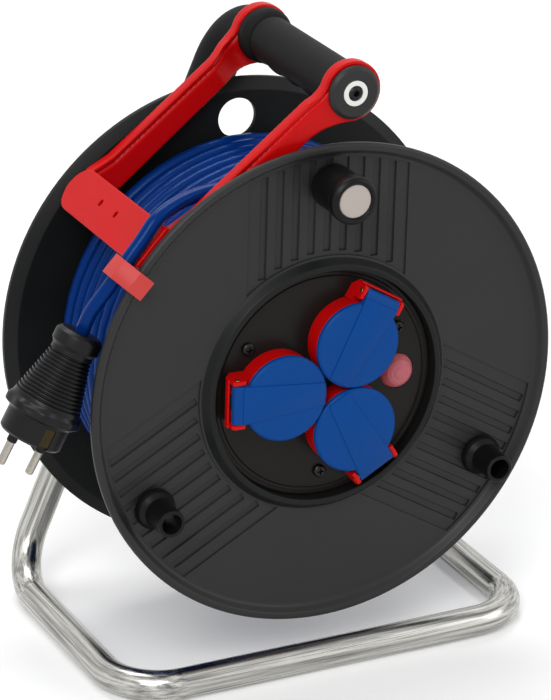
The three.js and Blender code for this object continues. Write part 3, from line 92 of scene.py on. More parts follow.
class ReelSizes(bpy.types.PropertyGroup):
    """Sizes of the reel's finished pieces."""

    drum_radius: length("Drum radius", "From the axle to the edge of the flanges", 145)
    groove_width: length("Groove width", "Width of each groove in the ribbed bands", 4.4)
    groove_depth: length("Groove depth", "Depth of each groove in the ribbed bands", 1.4)
    band_step: length("Band step", "How far the ribbed bands lie below the smooth sectors", 1.0)
    cable_radius: length("Cable radius", "Half the cable's thickness", 4.3)
    tube_radius: length("Tube radius", "Half the stand tube's thickness", 9)
    grip_radius: length("Grip radius", "Half the grip's thickness between the fingers", 13.5)
    finger_wave: length("Finger wave", "How far the grip swells between two fingers", 2.4)
    lid_radius: length("Lid radius", "Half the width of a socket's lid", 25.6)
    knob_radius: length("Knob radius", "Half the winding knob's width", 14)
    post_radius: length("Post radius", "Half the width of the two hollow posts", 8.2)
    button_radius: length("Button radius", "Half the thermal button's width", 10.4)
    plug_ribs: IntProperty(name="Plug ribs", description="Ridges round the plug's waist",
                           default=13, min=4, max=30)


class ReelColours(bpy.types.PropertyGroup):
    """Colours of the reel's finishes."""

    flange: colour("Flange", "Moulded polypropylene of the drum", "#2a2a2a")
    plate: colour("Socket plate", "Moulded plastic behind the sockets", "#171513")
    grip: colour("Grip", "Soft grip rubber", "#171717")
    plug: colour("Plug", "Plug rubber", "#08080a")
    guide: colour("Cable guide", "Red moulded frame and sockets", "#c5080a")
    clip: colour("Guide clip", "Paler red clip", "#c4413e")
    lid: colour("Lids", "Blue moulded lids", "#034188")
    jacket: colour("Cable jacket", "Blue cable jacket", "#00286c")
    # Painted shade: the rear flange and the pan's wall are the drum's plastic, made blacker for the shade
    # they lie in.
    rear: colour("Rear flange", "Blacker plastic of the rear flange", "#151616")
    # Painted shade: the earth strips' brass is darkened for the shade of the plug's slots they sit in.
    tarnish: colour("Tarnished brass", "Earth strips of the plug", "#3b3322")
    knob: colour("Knob", "Black moulded knob", "#0d0d0e")
    button: colour("Button", "Silicone cap of the thermal button", "#b9656d")
    zinc: colour("Zinc", "Zinc plated steel tube", "#c6c5c0")
    nickel: colour("Nickel", "Nickel plated pins", "#a8a299")
    brass: colour("Brass", "Contacts and hinge pins", "#c9a552")
    nylon: colour("Nylon", "White washer and bush", "#e6e6e2")
    blackened: colour("Blackened steel", "Dark screws and springs", "#2e2e30")
    disc: colour("Knob disc", "Printed silver disc", "#b3a9a3")
    floor: colour("Floor", "Studio floor", "#f2f2f2")


def sizes():
    return bpy.context.scene.reel_sizes


def colours():
    return bpy.context.scene.reel_colours


# ---- Places ----


def reel_point(x, y, z):
    return Vector((x, y - MIDDLE, z + AXLE_HEIGHT)) * MM


def around(radius, degrees):
    """X and Z of a point round the drum's axis."""
    turn = math.radians(degrees)
    return radius * math.cos(turn), radius * math.sin(turn)


def arc(radius, start, end, steps, centre=(0, 0)):
    """Points of an arc from one angle to another, both ends with it."""
    angles = [start + (end - start) * k / steps for k in range(steps + 1)]
    return [(centre[0] + radius * math.cos(a), centre[1] + radius * math.sin(a)) for a in angles]


def round_axle(turn):
    """A turn by radians round the drum's axis."""
    return Matrix.Translation(AXLE) @ Matrix.Rotation(turn, 4, "Y") @ Matrix.Translation(-AXLE)


AXLE = Vector((0, 0, AXLE_HEIGHT * MM))
DRUM_POSE = round_axle(DRUM_TURN)


def drum_spoke(radius, degrees):
    """Moves a piece made on the drum's axis out to its place round the drum."""
    x, z = around(radius, degrees)
    return DRUM_POSE @ Matrix.Translation((x * MM, 0, z * MM))


# ---- Modelling by hand, one operator after another ----


def start_piece(name, point):
    """A primitive plane drawn together to the one point that a profile starts from."""
    bpy.ops.object.select_all(action="DESELECT")
    bpy.ops.mesh.primitive_plane_add(size=0.01, location=point)
    piece = bpy.context.object
    piece.name = piece.data.name = name
    bpy.ops.object.transform_apply(location=True, rotation=True, scale=True)
    bpy.ops.object.mode_set(mode="EDIT")
    bpy.ops.mesh.select_all(action="SELECT")
    bpy.ops.mesh.merge(type="CENTER")
    return piece


def draw_on(points):
    """Extrudes the selected vertex from point to point."""
    for before, after in zip(points, points[1:]):
        bpy.ops.mesh.extrude_vertices_move(TRANSFORM_OT_translate={"value": after - before})


def pick(piece, kind, test):
    """Selects the vertices or faces in edit mode that pass the test, by their place or normal."""
    bpy.ops.mesh.select_mode(type="VERT" if kind == "verts" else "FACE")
    bpy.ops.mesh.select_all(action="DESELECT")
    mesh = bmesh.from_edit_mesh(piece.data)
    mesh.normal_update()
    for item in getattr(mesh, kind):
        item.select_set(bool(test(item)))
    mesh.select_flush_mode()
    bmesh.update_edit_mesh(piece.data)


def leave_edit(outwards=True, merge=2e-6):
    bpy.ops.mesh.select_mode(type="VERT")
    bpy.ops.mesh.select_all(action="SELECT")
    if merge:
        bpy.ops.mesh.remove_doubles(threshold=merge)
    if outwards:
        bpy.ops.mesh.normals_make_consistent(inside=False)
    bpy.ops.object.mode_set(mode="OBJECT")


def bow(start, control, end, steps):
    """Points of a bow from start to end, drawn towards the control point."""
    start, control, end = Vector(start), Vector(control), Vector(end)
    shares = [k / steps for k in range(steps + 1)]
    return [tuple(start * (1 - t) ** 2 + control * 2 * t * (1 - t) + end * t * t) for t in shares]


def eased(corners, steps=4):
    """Rounds a line's corners. A corner's third number is its radius."""
    line = []
    for i, corner in enumerate(corners):
        point = Vector(corner[:2])
        if len(corner) < 3:
            line.append(tuple(point))
            continue
        back = Vector(corners[i - 1][:2]) - point
        ahead = Vector(corners[(i + 1) % len(corners)][:2]) - point
        half = max(back.angle(ahead) / 2, 0.05)
        reach = min(corner[2] / math.tan(half), back.length * 0.48, ahead.length * 0.48)
        line += bow(point + back.normalized() * reach, point, point + ahead.normalized() * reach, steps)
    return line


def turned(name, corners, sides=64, centre=(0, 0), steps=4):
    """Spins (radius, y) corners round an axis along Y. A profile off the axis is a closed ring."""
    x, z = centre
    profile = eased(corners, steps)
    ring = profile[0][0] > 0 and profile[-1][0] > 0
    points = [reel_point(x + radius, y, z) for radius, y in profile]
    piece = start_piece(name, points[0])
    draw_on(points)
    if ring:
        ends = (points[0], points[-1])
        pick(piece, "verts", lambda v: any((v.co - end).length < 1e-7 for end in ends))
        bpy.ops.mesh.edge_face_add()
    bpy.ops.mesh.select_all(action="SELECT")
    bpy.ops.mesh.spin(steps=sides, angle=FULL_TURN, center=reel_point(x, 0, z), axis=(0, 1, 0))
    leave_edit()
    return piece


def rod(name, radius, front, back, sides=24, centre=(0, 0)):
    """A plain rod along Y, for a bore."""
    return turned(name, [(0, front), (radius, front), (radius, back), (0, back)], sides, centre)


def plated(name, outline, thickness):
    """Fills an outline of points in metres and extrudes it by the thickness, a vector."""
    piece = start_piece(name, outline[0])
    draw_on(outline)
    bpy.ops.mesh.select_all(action="SELECT")
    bpy.ops.mesh.edge_face_add()
    bpy.ops.mesh.extrude_region_move(TRANSFORM_OT_translate={"value": thickness})
    leave_edit(merge=0)
    return piece


def slab(name, corners, front, back, steps=4):
    """An outline of (x, z) corners made solid from y = front to y = back."""
    outline = [reel_point(x, front, z) for x, z in eased(corners, steps)]
    return plated(name, outline, Vector((0, back - front, 0)) * MM)


def side_piece(name, corners, low, high):
    """An outline of (x, y) corners made solid from z = low to z = high."""
    outline = [reel_point(x, y, low) for x, y in eased(corners)]
    return plated(name, outline, Vector((0, 0, high - low)) * MM)


def box(name, low, high):
    """A box between two corners given in the reel's millimetres."""
    (x0, y0, z0), (x1, y1, z1) = low, high
    return slab(name, [(x0, z0), (x1, z0), (x1, z1), (x0, z1)], y0, y1)


def select_only(*pieces):
    bpy.ops.object.select_all(action="DESELECT")
    for piece in pieces:
        piece.select_set(True)
    bpy.context.view_layer.objects.active = pieces[0]


def apply_modifier(piece, kind, **settings):
    select_only(piece)
    modifier = piece.modifiers.new(kind.title(), kind)
    for name, value in settings.items():
        setattr(modifier, name, value)
    bpy.ops.object.modifier_apply(modifier=modifier.name)
    return piece


def joined(*pieces):
    select_only(*pieces)
    bpy.ops.object.join()
    return bpy.context.object


def combined(piece, other, how):
    apply_modifier(piece, "BOOLEAN", object=other, operation=how, solver="EXACT")
    bpy.data.objects.remove(other)
    return piece


def cut(piece, *cutters):
    return combined(piece, joined(*cutters) if len(cutters) > 1 else cutters[0], "DIFFERENCE")


def softened(piece, width, segments=2, degrees=35):
    """Bevels the piece's sharp edges."""
    return apply_modifier(piece, "BEVEL", width=width * MM, segments=segments, limit_method="ANGLE",
                          angle_limit=math.radians(degrees), use_clamp_overlap=True)


def discard(*pieces):
    for piece in pieces:
        bpy.data.objects.remove(piece)


def moved(piece, matrix):
    piece.data.transform(matrix)
    return piece


def copied(piece, name, matrix=Matrix.Identity(4)):
    twin = piece.copy()
    twin.data = piece.data.copy()
    twin.name = twin.data.name = name
    bpy.context.scene.collection.objects.link(twin)
    return moved(twin, matrix)


def finished(piece, body, slot, look, *nodes, degrees=32):
    """Smooths the piece, gives it its finish and hangs it on its body, in place of its CAD nodes."""
    select_only(piece)
    bpy.ops.object.shade_smooth_by_angle(angle=math.radians(degrees))
    piece.data.materials.clear()
    piece.data.materials.append(finish(look))
    if body:
        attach(piece, body)
    if nodes:
        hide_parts(*nodes)
    return piece


def dressed(look, *names):
    """Gives carried-over CAD nodes their finish."""
    for name in names:
        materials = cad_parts[name].data.materials
        materials.clear()
        materials.append(finish(look))


# ---- Finishes ----


def add_node(tree, kind, inputs=None, **settings):
    """Adds one node with its settings, and links or sets its sockets."""
    node = tree.nodes.new(kind)
    for name, value in settings.items():
        setattr(node, name, value)
    for socket, value in (inputs or {}).items():
        if isinstance(value, bpy.types.NodeSocket):
            tree.links.new(value, node.inputs[socket])
        else:
            node.inputs[socket].default_value = value
    return node


def blank(name):
    """A new material, its tree and its shader."""
    material = bpy.data.materials.new(name)
    material.use_nodes = True
    return material, material.node_tree, material.node_tree.nodes["Principled BSDF"]


def rgba(value, gain=1.0):
    return (*[min(v * gain, 1.0) for v in value], 1.0)


def noise(tree, size, detail, **inputs):
    """Noise with features of about that size in millimetres, in the object's own space."""
    place = add_node(tree, "ShaderNodeTexCoord").outputs["Object"]
    sockets = {"Vector": place, "Scale": 1 / (size * MM), "Detail": detail, **inputs}
    return add_node(tree, "ShaderNodeTexNoise", sockets).outputs["Fac"]


def mixed(tree, share, value, low, high):
    """The colour between two gains of itself, by a share from 0 to 1."""
    return add_node(tree, "ShaderNodeMix", {0: share, 6: rgba(value, low), 7: rgba(value, high)},
                    data_type="RGBA").outputs[2]


def surfaced(tree, shader, shade, gloss, rough, height, strength, depth):
    """Joins a colour, a gloss between two roughnesses and a relief to the shader."""
    level = add_node(tree, "ShaderNodeMapRange", {
        "Value": gloss, "From Min": 0.3, "From Max": 0.7, "To Min": rough[0], "To Max": rough[1]})
    bump = add_node(tree, "ShaderNodeBump", {
        "Height": height, "Strength": strength, "Distance": depth * MM})
    tree.links.new(shade, shader.inputs["Base Color"])
    tree.links.new(level.outputs[0], shader.inputs["Roughness"])
    tree.links.new(bump.outputs[0], shader.inputs["Normal"])


def moulded(name, value, rough=0.42, grain=1.1, grain_depth=0.05, tone=0.06, specular=0.2):
    """Injection moulded plastic: even colour, a fine spark-eroded grain and slow changes of gloss
    where the wall thickness changes. The grain of about 0.3 mm is drawn coarser, so that it shows."""
    material, tree, shader = blank(name)
    cloud = noise(tree, 38, 3)
    surfaced(tree, shader, mixed(tree, cloud, value, 1 - tone, 1 + tone), cloud,
             (rough - 0.05, rough + 0.05), noise(tree, grain, 3), 0.5, grain_depth)
    shader.inputs["Specular IOR Level"].default_value = specular
    return material


def silicone(name, value):
    """Moulded silicone: soft, slightly cloudy, lets light in."""
    material = moulded(name, value, rough=0.3, grain=2.5, grain_depth=0.03, tone=0.08)
    shader = material.node_tree.nodes["Principled BSDF"]
    shader.inputs["Subsurface Weight"].default_value = 0.35
    shader.inputs["Subsurface Radius"].default_value = (0.004, 0.0015, 0.0015)
    shader.inputs["IOR"].default_value = 1.41
    return material


def jacket(name, value):
    """Extruded cable jacket: smooth and waxy, with faint waves from the twisted cores inside. Its
    dye lies in the gloss too, so its highlights are blue."""
    material, tree, shader = blank(name)
    waves = noise(tree, 5, 2)
    surfaced(tree, shader, mixed(tree, noise(tree, 24, 2), value, 0.86, 1.16), waves, (0.18, 0.28),
             waves, 0.35, 0.15)
    shader.inputs["Specular IOR Level"].default_value = 0.2
    shader.inputs["Specular Tint"].default_value = (0.3, 0.6, 1, 1)
    return material


def drawn_metal(name, value, rough=0.26, streaks=False, spread=0.1, contrast=0.2):
    """Drawn and plated metal. The tube's streaks follow its own length, by the attribute "lay":
    the place on the tube's circle, and millimetres along it. The contrast darkens the streaks; on the tube
    it is strong enough to paint dark reflections as well as draw marks."""
    material, tree, shader = blank(name)
    if streaks:
        lay = add_node(tree, "ShaderNodeAttribute", attribute_name="lay").outputs["Vector"]
        stretch = add_node(tree, "ShaderNodeMapping", {"Vector": lay, "Scale": (1, 1, 0.02)})
        drawn = noise(tree, 1 / (0.55 * MM), 5, Vector=stretch.outputs[0], Roughness=0.65)
    else:
        drawn = noise(tree, 1.6, 5, Roughness=0.65)
    band = add_node(tree, "ShaderNodeMapRange", {"Value": drawn, "From Min": 0.36, "From Max": 0.62})
    surfaced(tree, shader, mixed(tree, band.outputs[0], value, 1 - contrast, 1.1), drawn,
             (rough - spread, rough + spread), drawn, 0.25, 0.08)
    shader.inputs["Metallic"].default_value = 1.0
    return material


RECIPES = {
    # Black polypropylene, moulded with a satin grain: dark grey, soft broad highlights.
    "moulded_polypropylene": (moulded, "flange", {"rough": 0.4}),
    # The plate behind the sockets is a smoother, browner black.
    "moulded_plate": (moulded, "plate", {"rough": 0.34, "tone": 0.1, "specular": 0.14}),
    # Painted shade: the rear flange and the pan's wall are the drum's plastic, made blacker than the
    # drum's face for the shade they lie in.
    "moulded_rear": (moulded, "rear", {"specular": 0.15}),
    # The winding knob and the posts are a deeper black than the drum.
    "moulded_knob": (moulded, "knob", {"rough": 0.36, "specular": 0.15}),
    # Thermoplastic rubber: matt and slightly dusty on the grip, wiped shinier on the plug.
    "grip_rubber": (moulded, "grip",
                    {"rough": 0.6, "grain": 1.4, "grain_depth": 0.12, "tone": 0.1, "specular": 0.1}),
    "plug_rubber": (moulded, "plug",
                    {"rough": 0.36, "grain": 1.4, "grain_depth": 0.06, "tone": 0.08, "specular": 0.22}),
    # Glossy ABS, bright red.
    "gloss_abs": (moulded, "guide",
                  {"rough": 0.3, "grain": 1.6, "grain_depth": 0.02, "tone": 0.05, "specular": 0.13}),
    # Polyamide: the clip glossier, the lids with a fine grain.
    "clip_polyamide": (moulded, "clip",
                       {"rough": 0.36, "grain": 1.6, "grain_depth": 0.03, "tone": 0.05, "specular": 0.15}),
    "lid_polyamide": (moulded, "lid", {"grain": 1.2, "tone": 0.05, "specular": 0.1}),
    "cable_jacket": (jacket, "jacket", {}),
    "button_silicone": (silicone, "button", {}),
    # Zinc plating on the drawn tube shows its draw marks, drawn with so strong a contrast that they also
    # paint dark reflections of the surroundings; on turned parts it is even.
    "zinc_plating": (drawn_metal, "zinc", {"streaks": True, "contrast": 0.68}),
    "zinc_steel": (drawn_metal, "zinc", {"rough": 0.32}),
    "nickel_plate": (drawn_metal, "nickel", {"rough": 0.2, "spread": 0.05, "contrast": 0.06}),
    # The plug's earth strips: brass darkened as painted shade for the slots they sit in.
    "tarnished_brass": (drawn_metal, "tarnish", {"rough": 0.45}),
    "spring_brass": (drawn_metal, "brass", {"rough": 0.3}),
    "blackened_steel": (drawn_metal, "blackened", {"rough": 0.38}),
    # Natural nylon of the washer and the bush.
    "white_nylon": (moulded, "nylon", {"rough": 0.4, "grain": 1.2, "grain_depth": 0.03, "tone": 0.03}),
    # Silver print under a clear film.
    "printed_disc": (moulded, "disc", {"rough": 0.3, "grain": 1.0, "grain_depth": 0.02, "tone": 0.03}),
}


def finish(name):
    """The finish of that name, made when it is first asked for."""
    made = bpy.data.materials.get(name)
    if made:
        return made
    maker, tone, settings = RECIPES[name]
    return maker(name, getattr(colours(), tone), **settings)


# ---- Cable ----

CABLE_PITCH = 9.25
CABLE_LOOPS = 11.5
CORE_RADIUS = 105.24
WINDING_RADIUS = 109.84
LEAD_ANGLE = 62
LEAD_START_Y = 17
LEAD_OVER_PLATE = 148.3
RUN_ON = 8.6  # the outer layer ends in a straight run as long as the cable is thick
# The free lead's way: degrees round the drum, the rise from the winding (0) to over
# the guide's plate (1), and y.
LEAD_POINTS = [
    (73.5, 0.051, 16.6), (82, 0.148, 17.6), (92, 0.239, 19.3), (102, 0.369, 21.4),
    (112, 0.539, 22.6), (120, 0.738, 22.6), (126.5, 0.92, 18.7), (131.5, 1.02, 14.9),
    (136.75, 1, 13.4), (142, 1.01, 12.6), (146.5, 1.026, 12.6), (151, 1.056, 14),
    (155.5, 1.074, 17.4),
]
PLUG_X, PLUG_Z = around(150.83, 160.52)
PLUG_PLACE = Vector((PLUG_X, 20, PLUG_Z))
PLUG_HEADING = Vector((-0.49, 0, -0.872)).normalized()


def winding_route(radius, pitch_shift=0.0, steps=60, loops=CABLE_LOOPS, loose=0.0):
    """A layer of turns from the rear flange to the front one, as points in the reel's millimetres."""
    points = []
    count = round(loops * steps)
    for i in range(count + 1):
        back = (count - i) / steps
        angle = math.radians(LEAD_ANGLE) - back * FULL_TURN
        wander = loose * math.sin(angle * 2.3 + back * 1.9) * math.sin(back * 2.1 + 0.6)
        lift = loose * 0.35 * (1 + math.sin(angle * 1.7 + back * 3.1)) * min(back, 1)
        y = LEAD_START_Y + back * CABLE_PITCH + pitch_shift + wander * min(back, 1)
        points.append(Vector(((radius + lift) * math.cos(angle), y, (radius + lift) * math.sin(angle))))
    return points


def smooth_route(points, steps=8):
    """A centripetal spline through the points."""
    ends = [points[0] * 2 - points[1], *points, points[-1] * 2 - points[-2]]
    route = []
    for i in range(1, len(ends) - 2):
        p0, p1, p2, p3 = ends[i - 1:i + 3]
        t1 = (p1 - p0).length ** 0.5
        t2 = t1 + (p2 - p1).length ** 0.5
        t3 = t2 + (p3 - p2).length ** 0.5
        for k in range(steps):
            t = t1 + (t2 - t1) * k / steps
            a1 = p0 * ((t1 - t) / t1) + p1 * (t / t1)
            a2 = p1 * ((t2 - t) / (t2 - t1)) + p2 * ((t - t1) / (t2 - t1))
            a3 = p2 * ((t3 - t) / (t3 - t2)) + p3 * ((t - t2) / (t3 - t2))
            b1 = a1 * ((t2 - t) / t2) + a2 * (t / t2)
            b2 = a2 * ((t3 - t) / (t3 - t1)) + a3 * ((t - t1) / (t3 - t1))
            route.append(b1 * ((t2 - t) / (t2 - t1)) + b2 * ((t - t1) / (t2 - t1)))
    route.append(points[-1].copy())
    return route


def cable_tube(name, route, radius, resolution=3):
    """A round cable along a route in the reel's millimetres, as a mesh."""
    curve = bpy.data.curves.new(name, "CURVE")
    curve.dimensions = "3D"
    curve.bevel_depth = radius
    curve.bevel_resolution = resolution
    curve.use_fill_caps = True
    spline = curve.splines.new("POLY")
    spline.points.add(len(route) - 1)
    for point, place in zip(spline.points, route):
        point.co = (*reel_point(*place), 1)
    tube = bpy.data.objects.new(name, curve)
    bpy.context.scene.collection.objects.link(tube)
    select_only(tube)
    bpy.ops.object.convert(target="MESH")
    return bpy.context.object


def lead_points():
    """The free lead from the end of the outer layer's last run to inside the plug's collar."""
    route = winding_route(WINDING_RADIUS, steps=24)
    last = route[-1]
    way = (last - route[-2]).normalized()
    end = last + way * RUN_ON
    points = [end + way * 0.3, end + way * 5]
    for angle, rise, y in LEAD_POINTS:
        x, z = around(WINDING_RADIUS + rise * (LEAD_OVER_PLATE - WINDING_RADIUS), angle)
        points.append(Vector((x, y, z)))
    for reach in (0, 7, 14.7):
        points.append(PLUG_PLACE + PLUG_HEADING * reach)
    return points


PLUG_PIECES = ("plug_body_form", "pin_1", "pin_2", "pin_foot_1", "pin_foot_2")


class REEL_OT_free_lead(bpy.types.Operator):
    """Makes the cable's free end, from the outer layer over the guide to the plug"""

    bl_idname = "reel.free_lead"
    bl_label = "Free Lead"

    def execute(self, context):
        radius = sizes().cable_radius
        points = lead_points()
        route = smooth_route(points)
        lead = cable_tube("free_lead", route, radius)
        finished(lead, None, "blue_jacket", "cable_jacket", "cable_lead", degrees=60)
        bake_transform(lead)
        plug = [bpy.data.objects[name] for name in PLUG_PIECES]
        plug += [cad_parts[name] for name in ("plug_earth_1", "plug_earth_2")]
        return {"FINISHED"}


class REEL_OT_cable_turns(bpy.types.Operator):
    """Makes the outer layer of turns, the layer that shows between them, and the core below"""

    bl_idname = "reel.cable_turns"
    bl_label = "Cable Turns"

    def execute(self, context):
        radius = sizes().cable_radius
        route = winding_route(WINDING_RADIUS, loose=0.9)
        way = (route[-1] - route[-2]).normalized()
        route.append(route[-1] + way * RUN_ON)
        start = (route[0] - route[1]).normalized()
        route.insert(0, route[0] + start * RUN_ON)
        outer = cable_tube("cable_turns", route, radius)
        below = winding_route(WINDING_RADIUS - 7.3, CABLE_PITCH / 2, loops=10.6)
        under = cable_tube("turns_below", below, radius)
        core = turned("cable_core_form", [(76.3, 8.3), (99.5, 8.3), (99.5, 127.7), (76.3, 127.7)], 96)
        finished(joined(outer, under, core), "drum", "blue_jacket", "cable_jacket",
                 "cable_winding", "cable_core", degrees=60)
        return {"FINISHED"}


# ---- Camera and stage ----


CAMERA_PLACE = (-0.9058, -1.9011, 1.0295)
CAMERA_TURN = (25.58, 22.27, 0.2)  # yaw, pitch and roll in degrees
CAMERA_LENS = 199.48
PAPER_LIFT = 0.22


class REEL_OT_camera(bpy.types.Operator):
    """Sets the camera where the photograph was taken from"""

    bl_idname = "reel.camera"
    bl_label = "Camera"

    def execute(self, context):
        yaw, pitch, roll = [math.radians(angle) for angle in CAMERA_TURN]
        far, deep = math.cos(pitch), math.sin(pitch)
        ahead = Vector((math.sin(yaw) * far, math.cos(yaw) * far, -deep))
        level = Vector((math.cos(yaw), -math.sin(yaw), 0))
        rise = Vector((math.sin(yaw) * deep, math.cos(yaw) * deep, far))
        right = level * math.cos(roll) + rise * math.sin(roll)
        up = rise * math.cos(roll) - level * math.sin(roll)
        bpy.ops.object.select_all(action="DESELECT")
        bpy.ops.object.camera_add(location=CAMERA_PLACE)
        camera = bpy.context.object
        camera.name = "photo_camera"
        turn = Matrix((right, up, -ahead)).transposed()
        camera.rotation_euler = turn.to_euler()
        camera.data.sensor_width = 36
        camera.data.lens = CAMERA_LENS
        camera.data.clip_start = 0.05
        camera.data.clip_end = 50
        context.scene.camera = camera
        return {"FINISHED"}


def lamp(name, place, target, size, power):
    """A soft square lamp that looks at the target."""
    bpy.ops.object.select_all(action="DESELECT")
    bpy.ops.object.light_add(type="AREA", location=place)
    light = bpy.context.object
    light.name = name
    light.data.shape = "RECTANGLE"
    light.data.size, light.data.size_y = size
    light.data.energy = power
    light.rotation_euler = (Vector(target) - Vector(place)).to_track_quat("-Z", "Y").to_euler()
    return light


def seen_directly(tree):
    """One for what the camera, metal and glass see, nought for what only lights a surface."""
    path = add_node(tree, "ShaderNodeLightPath").outputs
    level = path["Is Camera Ray"]
    for ray in ("Is Glossy Ray", "Is Transmission Ray"):
        either = add_node(tree, "ShaderNodeMath", {0: level, 1: path[ray]}, operation="MAXIMUM")
        level = either.outputs[0]
    return level


def white_room(strength):
    """A plain world. What the camera, metal and glass see of it is white; it lights the rest evenly."""
    world = bpy.data.worlds.new("studio")
    bpy.context.scene.world = world
    world.use_nodes = True
    tree = world.node_tree
    seen = seen_directly(tree)
    level = add_node(tree, "ShaderNodeMapRange", {"Value": seen, "To Min": strength, "To Max": 1.0})
    sky = tree.nodes["Background"]
    sky.inputs["Color"].default_value = (1, 1, 1, 1)
    tree.links.new(level.outputs[0], sky.inputs["Strength"])


def white_floor():
    """Matt white paper. Seen directly it is lifted to white, and keeps the object's shadow."""
    material, tree, shader = blank("studio_paper")
    shade = mixed(tree, noise(tree, 25, 3), colours().floor, 0.99, 1.0)
    tree.links.new(shade, shader.inputs["Base Color"])
    shader.inputs["Roughness"].default_value = 0.9
    shader.inputs["Specular IOR Level"].default_value = 0.1
    lift = add_node(tree, "ShaderNodeMath", {0: seen_directly(tree), 1: PAPER_LIFT},
                    operation="MULTIPLY")
    tree.links.new(shade, shader.inputs["Emission Color"])
    tree.links.new(lift.outputs[0], shader.inputs["Emission Strength"])
    return material


class REEL_OT_stage(bpy.types.Operator):
    """Lays the floor, lights the studio and sets the view"""

    bl_idname = "reel.stage"
    bl_label = "Stage"

    def execute(self, context):
        bpy.ops.object.select_all(action="DESELECT")
        bpy.ops.mesh.primitive_circle_add(vertices=64, radius=7, fill_type="NGON", location=(0, 0, 0))
        floor = bpy.context.object
        floor.name = floor.data.name = "studio_floor"
        floor.data.materials.append(white_floor())
        lamp("key_softbox", (-1.6, -2.0, 2.3), (0, 0, 0.15), (1.6, 1.6), 54)
        lamp("fill_softbox", (2.2, -1.6, 1.4), (0, 0, 0.15), (1.5, 1.5), 16)
        lamp("top_softbox", (0.1, 0.9, 2.6), (0, 0, 0.1), (1.8, 1.2), 34)
        white_room(0.4)
        context.scene.view_settings.view_transform = "Standard"
        return {"FINISHED"}


# ---- Plug ----

PIN_SIDE = 9.5
WAIST_START, WAIST_LENGTH = 14.2, 29
SKIRT_START, SKIRT_END, SKIRT_LOBES = 44, 53, 8


def plug_pose():
    """Places a piece made with its collar at the reel's origin and its pins towards +Y."""
    across = Vector((-PLUG_HEADING.z, 0, PLUG_HEADING.x))
    turn = Matrix((across, PLUG_HEADING, across.cross(PLUG_HEADING))).transposed().to_4x4()
    return Matrix.Translation(reel_point(*PLUG_PLACE)) @ turn @ Matrix.Translation(-reel_point(0, 0, 0))


def plug_form():
    """The plug's body along the drum's axis: collar, ribbed waist, lobed skirt and face."""
    waist = []
    pitch = WAIST_LENGTH / sizes().plug_ribs
    for i in range(sizes().plug_ribs):
        low = WAIST_START + i * pitch
        crest = 12.6 + i * pitch * 0.262
        waist += [(crest - 1.4, low), (crest - 1.4, low + pitch * 0.25, 0.2),
                  (crest + 0.1, low + pitch * 0.42, 0.4), (crest + 0.25, low + pitch * 0.83, 0.4)]
    body = turned("plug_body_form", [
        (0, 15), (4.75, 15), (4.75, 0, 0.4), (11.6, 0, 1.5), (14, 2.4, 1.5), (14, 8.5, 1.2),
        (12.2, 10.8, 1.0), (12.4, 13.6, 0.4), *waist, (20.3, 44.6, 2), (22.5, 47.2, 1.6),
        (22.5, 51, 1.4), (18.5, 53, 0.8), (18.5, 65.4, 1.2), (16.8, 67, 0.8), (0, 67)], 96, steps=3)
    axis = reel_point(0, 0, 0)
    for vertex in body.data.vertices:
        across, along, up = (vertex.co - axis) / MM
        if SKIRT_START < along < SKIRT_END:
            lobe = 1 + math.cos(SKIRT_LOBES * math.atan2(up, across))
            dip = lobe * math.sin(math.pi * (along - SKIRT_START) / (SKIRT_END - SKIRT_START))
            vertex.co.x = axis.x + across * (1 - 0.035 * dip) * MM
            vertex.co.z = axis.z + up * (1 - 0.035 * dip) * MM
    return body


class REEL_OT_plug(bpy.types.Operator):
    """Makes the rubber plug with its ribs, its two pins and its earth strips"""

    bl_idname = "reel.plug"
    bl_label = "Plug"

    def execute(self, context):
        pose = plug_pose()
        body = plug_form()
        seats = [rod("pin_seat", 2.7, 61, 68, 24, (side * PIN_SIDE, 0)) for side in SIDES]
        slots = [box("earth_slot", (-3.3, 54, low), (3.3, 68, low + 5)) for low in (-21, 16)]
        cut(body, *seats, *slots)
        finished(moved(body, pose), "guide", "black_rubber", "plug_rubber", "plug_body")
        pin = turned("plug_pin_form", [(0, 61.3), (2.4, 61.3), (2.4, 85.2, 1.4), (1.1, 86), (0, 86)], 24)
        foot = turned("pin_foot", [(2.42, 66.6), (2.95, 66.6, 0.2), (2.95, 71.5, 0.3), (2.42, 72)], 24)
        for i, side in enumerate(SIDES, 1):
            place = pose @ Matrix.Translation((side * PIN_SIDE * MM, 0, 0))
            finished(copied(pin, f"pin_{i}", place), "guide", "nickel_pins", "nickel_plate",
                     f"plug_pin_{i}")
            finished(copied(foot, f"pin_foot_{i}", place), "guide", "black_rubber", "plug_rubber")
        discard(pin, foot)
        # The earth strips get brass darkened as painted shade.
        dressed("tarnished_brass", "plug_earth_1", "plug_earth_2")
        return {"FINISHED"}


# ---- Stand ----

STAND_REAR, STAND_FRONT = 165.3, -9
BASE_HALF = 129
GRIP_X, GRIP_HEIGHT = 19.0, 171.2
TOP_BEND, BASE_BEND = 30, 34
FLOOR_BAR = -164.2
SHORT_LEG_TOP = 20
LEG_LEAN = (GRIP_X + BASE_HALF) / (GRIP_HEIGHT - FLOOR_BAR)
BRACKET_SCREW = 33  # from the axle


def leg_x(z):
    """Where the left leg's middle is at a height. The right leg mirrors it."""
    return GRIP_X - (GRIP_HEIGHT - z) * LEG_LEAN


